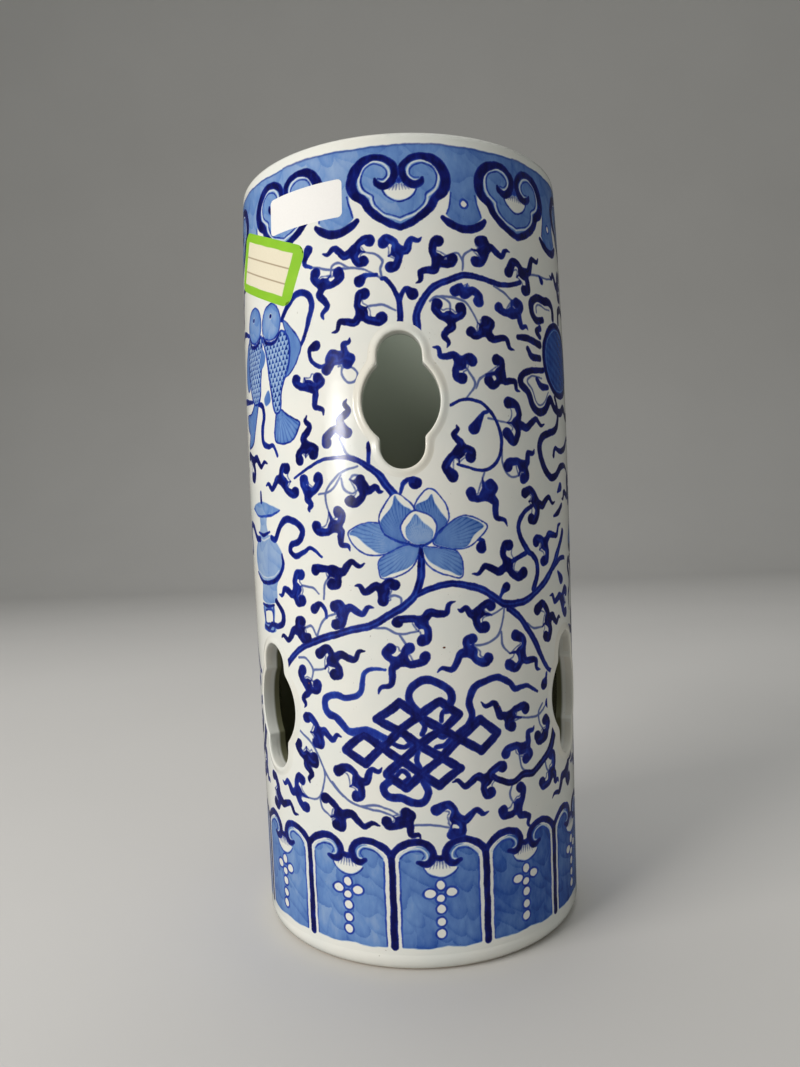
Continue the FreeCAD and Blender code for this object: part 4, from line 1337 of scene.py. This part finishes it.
def glaze_group():
    """Porcelain under glaze: warm white, faint cloudiness, pin holes and a soft orange peel."""
    group, n, i, o = new_group("porcelain_glaze", [("Place", "vector"), ("Body colour", "colour")],
                               [("Colour", "colour"), ("Roughness", "value"), ("Height", "value")])
    cloud = n.noise(i["Place"], 35, 3)
    pits = n.noise(i["Place"], 1400, 1)
    spread = n.noise(i["Place"], 90, 2)
    pit = n.math("MULTIPLY", n.stretch(pits, 0.74, 0.8), n.stretch(spread, 0.52, 0.62))
    tinted = n.mix(n.stretch(cloud, 0.35, 0.7), i["Body colour"], srgb(224, 226, 220))
    n.put(n.mix(n.math("MULTIPLY", pit, 0.5), tinted, srgb(120, 105, 85)), o["Colour"])
    n.put(n.stretch(cloud, 0.3, 0.7, 0.10, 0.15), o["Roughness"])
    peel = n.noise(i["Place"], 160, 2)
    n.put(n.math("SUBTRACT", peel, n.math("MULTIPLY", pit, 0.6)), o["Height"])
    return group


def cobalt_group():
    """Cobalt under the glaze: thin wash, fine lines and loaded strokes that pool and streak."""
    group, n, i, o = new_group(
        "cobalt_painting",
        [("Place", "vector"), ("Ground", "colour"), ("Ink", "value"), ("Fine", "value"),
         ("Wash", "value"), ("Depth", "value"), ("Iron", "value")],
        [("Colour", "colour")])
    ragged = n.noise(i["Place"], 900, 2)
    streak = n.noise(n.scaled(i["Place"], (1.0, 1.0, 0.45)), 420, 3, 0.6)
    pool = n.noise(i["Place"], 230, 2)
    waver = n.swing(ragged, 0.35)
    ink_cover = n.stretch(n.math("ADD", i["Ink"], waver), -0.44, -0.1)
    heart = n.stretch(i["Ink"], -0.2, 0.5)
    fine_edge = n.math("ADD", i["Fine"], n.math("MULTIPLY", waver, 0.7))
    fine_cover = n.stretch(fine_edge, -0.36, 0.12, 0.0, 0.9)
    streaked = n.math("SUBTRACT", streak, 0.5)
    wash = n.math("MULTIPLY_ADD", streaked, n.math("MULTIPLY", i["Wash"], 0.45), i["Wash"])
    washed = n.ramp(n.math("MULTIPLY", wash, 1.0, clamp=True), (
        (0.0, srgb(255, 255, 255)), (0.25, srgb(186, 208, 242)), (0.5, srgb(116, 156, 224)),
        (0.75, srgb(54, 98, 190)), (1.0, srgb(16, 34, 128))))
    on_ground = n.mix(1.0, i["Ground"], washed, "MULTIPLY")
    lined = n.mix(fine_cover, on_ground, srgb(52, 80, 152))
    loaded = n.math("ADD", i["Depth"], n.swing(streak, 0.6))
    loaded = n.math("ADD", loaded, n.swing(pool, 0.4))
    loaded = n.math("MULTIPLY_ADD", n.math("SUBTRACT", heart, 0.8), 0.2, loaded)
    cobalt = n.ramp(loaded, (
        (0.0, srgb(95, 130, 205)), (0.35, srgb(48, 84, 178)), (0.62, srgb(24, 46, 142)),
        (0.85, srgb(12, 22, 104)), (1.0, srgb(7, 10, 74))))
    painted = n.mix(ink_cover, lined, cobalt)
    rust = n.stretch(n.math("ADD", i["Iron"], waver), -0.12, 0.12)
    n.put(n.mix(rust, painted, n.mix(pool, srgb(48, 26, 16), srgb(120, 66, 34))), o["Colour"])
    return group


GLAZE = glaze_group()
COBALT = cobalt_group()
BODY_WHITE = srgb(232, 231, 223)


def new_material(name, roughness=0.1):
    """A material, a short way to write its nodes, and its shader."""
    material = bpy.data.materials.new(name)
    material.use_nodes = True
    nodes = Nodes(material.node_tree)
    shader = material.node_tree.nodes["Principled BSDF"]
    shader.inputs["Roughness"].default_value = roughness
    return material, nodes, shader


def use_group(nodes, group, **inputs):
    """Places a shared effect in a material, with the material's own values."""
    node = nodes.add("ShaderNodeGroup", node_tree=group)
    for name, value in inputs.items():
        nodes.put(value, node.inputs[name.replace("_", " ")])
    return node.outputs


def place_of(nodes):
    """The place on the object, in metres."""
    return nodes.add("ShaderNodeTexCoord").outputs["Object"]


def bumped(nodes, shader, height, strength, distance):
    """Lets a height roughen the surface."""
    bump = nodes.add("ShaderNodeBump")
    bump.inputs["Strength"].default_value = strength
    bump.inputs["Distance"].default_value = distance
    nodes.put(height, bump.inputs["Height"])
    nodes.put(bump.outputs[0], shader.inputs["Normal"])


def painted_material():
    """Glazed porcelain with the cobalt painting."""
    material, n, shader = new_material("painted_porcelain")
    place = place_of(n)
    glaze = use_group(n, GLAZE, Place=place, Body_colour=BODY_WHITE)
    layers = {name: n.attribute(name.lower()) for name in ("Ink", "Fine", "Wash", "Depth", "Iron")}
    paint = use_group(n, COBALT, Place=place, Ground=glaze["Colour"], **layers)
    n.put(paint["Colour"], shader.inputs["Base Color"])
    n.put(glaze["Roughness"], shader.inputs["Roughness"])
    bumped(n, shader, glaze["Height"], 0.12, 0.0004)
    return material


def inner_green_and_shade(n, height):
    """A grey-green glaze inside, darkening to olive towards the bottom as painted shade where little light
    reaches.
    """
    return n.mix(n.stretch(height, 0.245, 0.14), srgb(206, 214, 202), srgb(104, 104, 80))


def plain_glaze(name, colour):
    """Glazed porcelain without painting, bare of glaze on the foot ring, with painted shade on the inside
    face.
    """
    material, n, shader = new_material(name)
    place = place_of(n)
    glaze = use_group(n, GLAZE, Place=place, Body_colour=colour)
    axes = n.add("ShaderNodeSeparateXYZ")
    n.put(place, axes.inputs[0])
    height = axes.outputs[2]
    grain = n.noise(place, 2500, 3)
    edge = n.math("MULTIPLY_ADD", n.noise(place, 300, 2), 0.0006, height)
    bare_clay = n.stretch(edge, 0.0012, 0.0008)
    clay = n.mix(grain, srgb(196, 176, 150), srgb(222, 208, 186))
    across = [n.math("MULTIPLY", side, side) for side in axes.outputs[:2]]
    reach = n.math("POWER", n.math("ADD", *across), 0.5)
    # Painted shade: the inside face turns grey-green and darkens to olive towards the bottom
    inner_shade_mask = n.math("MULTIPLY", n.stretch(reach, 0.0592, 0.0582), n.stretch(height, 0.272, 0.262))
    shaded = n.mix(inner_shade_mask, glaze["Colour"], inner_green_and_shade(n, height))
    n.put(n.mix(bare_clay, shaded, clay), shader.inputs["Base Color"])
    n.put(n.math("MULTIPLY_ADD", bare_clay, 0.65, glaze["Roughness"]), shader.inputs["Roughness"])
    bumped(n, shader, n.math("ADD", glaze["Height"], n.math("MULTIPLY", grain, bare_clay)), 0.12, 0.0004)
    return material


def paper_material(name, bordered):
    """Sticker paper: plain white, or cream with a green border and two ruled lines."""
    material, n, shader = new_material(name, 0.55)
    place = place_of(n)
    fibre = n.noise(place, 1800, 4, 0.65)
    cloud = n.noise(place, 120, 2)
    paper = n.mix(fibre, srgb(240, 238, 235), srgb(230, 228, 225))
    if bordered:
        along = n.math("ABSOLUTE", n.attribute("along"))
        upward = n.attribute("upward")
        waver = n.swing(cloud, 0.06)
        inside = n.math("MULTIPLY",
                        n.stretch(n.math("ADD", along, waver), 0.775, 0.755),
                        n.stretch(n.math("ADD", n.math("ABSOLUTE", upward), waver), 0.715, 0.69))
        cream = n.mix(fibre, srgb(232, 224, 200), srgb(220, 211, 186))
        for height in (0.2, -0.3):
            line = n.stretch(n.math("ABSOLUTE", n.math("SUBTRACT", upward, height)), 0.035, 0.015)
            cream = n.mix(n.math("MULTIPLY", line, 0.75), cream, srgb(150, 128, 100))
        green = n.mix(cloud, srgb(124, 182, 34), srgb(150, 202, 54))
        paper = n.mix(inside, green, cream)
    n.put(paper, shader.inputs["Base Color"])
    n.put(n.stretch(fibre, 0.3, 0.7, 0.45, 0.6), shader.inputs["Roughness"])
    bumped(n, shader, fibre, 0.1, 0.0001)
    return material


def put_on(piece, material):
    """Gives a piece its only material."""
    piece.data.materials.clear()
    piece.data.materials.append(material)


painted = painted_material()
put_on(painted_face("painted_front", -88, 92, 0.3), painted)
put_on(painted_face("painted_back", 92, 272, 0.5), painted)

lip_material = plain_glaze("lip_glaze", srgb(226, 222, 210))
for place, (azimuth, centre_z) in OPENINGS.items():
    put_on(opening_lip(place, azimuth, centre_z), lip_material)

wall_material = plain_glaze("wall_glaze", BODY_WHITE)
for node in ("wall", "base_slab"):
    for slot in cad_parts[node].material_slots:
        slot.material = wall_material

put_on(sticker("white_sticker", "white_label", -30.3, 259.8, 31.0, 12.7, 1.6, 0.0, 0.2),
       paper_material("white_paper", False))
put_on(sticker("green_sticker", "green_label", -50.1, 244.2, 41.0, 21.0, 4.0, -23.0, 0.2),
       paper_material("green_paper", True))


def make_sweep():
    """Floor and backdrop in one pale sheet with a soft bend, painted dark grey where it is seen in the
    glaze, as a dimmer reflection.
    """
    width, front, back, bend, top = 6.0, -3.0, 1.6, 0.8, 3.4
    profile = [(front, 0.0), (back, 0.0)]
    for a in np.linspace(0.1, math.pi / 2, 12):
        profile.append((back + bend * math.sin(a), bend * (1 - math.cos(a))))
    profile.append((back + bend, top))
    points = [(x, y, z) for y, z in profile for x in (-width, width)]
    faces = [(2 * k, 2 * k + 1, 2 * k + 3, 2 * k + 2) for k in range(len(profile) - 1)]
    mesh = bpy.data.meshes.new("sweep")
    mesh.from_pydata(points, [], faces)
    mesh.shade_smooth()
    sweep = bpy.data.objects.new("sweep", mesh)
    bpy.context.scene.collection.objects.link(sweep)
    material, n, shader = new_material("backdrop_paper", 0.8)
    place = place_of(n)
    pale = n.mix(n.noise(place, 3, 2), srgb(214, 212, 209), srgb(206, 204, 201))
    mirrored = n.add("ShaderNodeLightPath").outputs["Is Glossy Ray"]
    # Painted reflection: the sheet turns dark grey where it is mirrored in the glaze
    n.put(n.mix(n.math("MULTIPLY", mirrored, 0.8), pale, srgb(40, 40, 40)), shader.inputs["Base Color"])
    put_on(sweep, material)


make_sweep()


def area_light(name, place, aim, size, power, colour=(1, 1, 1), mirrored=True):
    """A soft lamp that looks at a point; a mirrored one shows in the glaze as a window does."""
    light = bpy.data.lights.new(name, "AREA")
    light.shape = "ELLIPSE" if mirrored else "RECTANGLE"
    light.size, light.size_y = size
    light.energy = power
    light.color = colour
    lamp = bpy.data.objects.new(name, light)
    lamp.location = place
    lamp.visible_glossy = mirrored
    lamp.rotation_euler = (Vector(aim) - Vector(place)).to_track_quat("-Z", "Y").to_euler()
    bpy.context.scene.collection.objects.link(lamp)


# Lamps: name, place, aim, size, power and colour
area_light("key", (-0.95, -0.75, 0.75), (0, 0, 0.14), (0.7, 0.9), 12.4, (1.0, 0.97, 0.925), False)
area_light("window", (-0.80, -0.84, 0.30), (-0.02, -0.06, 0.18), (0.17, 0.13), 1.0)
area_light("window_glow", (-0.84, -0.88, 0.29), (-0.02, -0.06, 0.17), (0.44, 0.3), 1.15)
area_light("fill", (1.2, -0.9, 0.6), (0, 0, 0.14), (1.0, 1.2), 0.55, (0.94, 0.99, 0.97), False)
area_light("top", (-0.1, 0.5, 1.5), (0, 0, 0.1), (1.4, 1.4), 8.0, (1, 1, 1), False)

# The room, darker in the glaze than it is as light
world = bpy.data.worlds.new("room")
bpy.context.scene.world = world
world.use_nodes = True
room = Nodes(world.node_tree)
sky = world.node_tree.nodes["Background"]
sky.inputs[0].default_value = (0.84, 0.86, 0.84, 1)
in_glaze = room.add("ShaderNodeLightPath").outputs["Is Glossy Ray"]
room.put(room.math("MULTIPLY_ADD", in_glaze, -0.2, 0.3), sky.inputs[1])
bpy.context.scene.view_settings.view_transform = "Standard"


# The camera, fitted to the photograph
CAMERA_PLACE = (0.0, -0.3273, 0.1510)
PITCH = 0.0135
YAW = 0.0130
ROLL = -0.0384
TURN = math.radians(1.35)


def camera_axes(pitch, yaw, roll, turn):
    """Rows: right, down and forward of the camera, seen from the front of the stand."""
    rx = Matrix.Rotation(pitch, 3, "X")
    ry = Matrix.Rotation(yaw, 3, "Y")
    rz = Matrix.Rotation(roll, 3, "Z")
    base = Matrix(((1, 0, 0), (0, 0, -1), (0, 1, 0)))
    rows = rz @ rx @ ry @ base
    about_up = Matrix.Rotation(turn, 3, "Z")
    return [about_up @ Vector(row) for row in rows]


right, down, forward = camera_axes(PITCH, YAW, ROLL, TURN)
data = bpy.data.cameras.new("camera")
data.lens = 27.02
data.sensor_width = 36.0
data.clip_start = 0.01
camera = bpy.data.objects.new("camera", data)
bpy.context.scene.collection.objects.link(camera)
turned = Matrix.Rotation(TURN, 3, "Z") @ Vector(CAMERA_PLACE)
axes = Matrix((right, -down, -forward)).transposed().to_4x4()
camera.matrix_world = Matrix.Translation(turned) @ axes
bpy.context.scene.camera = camera
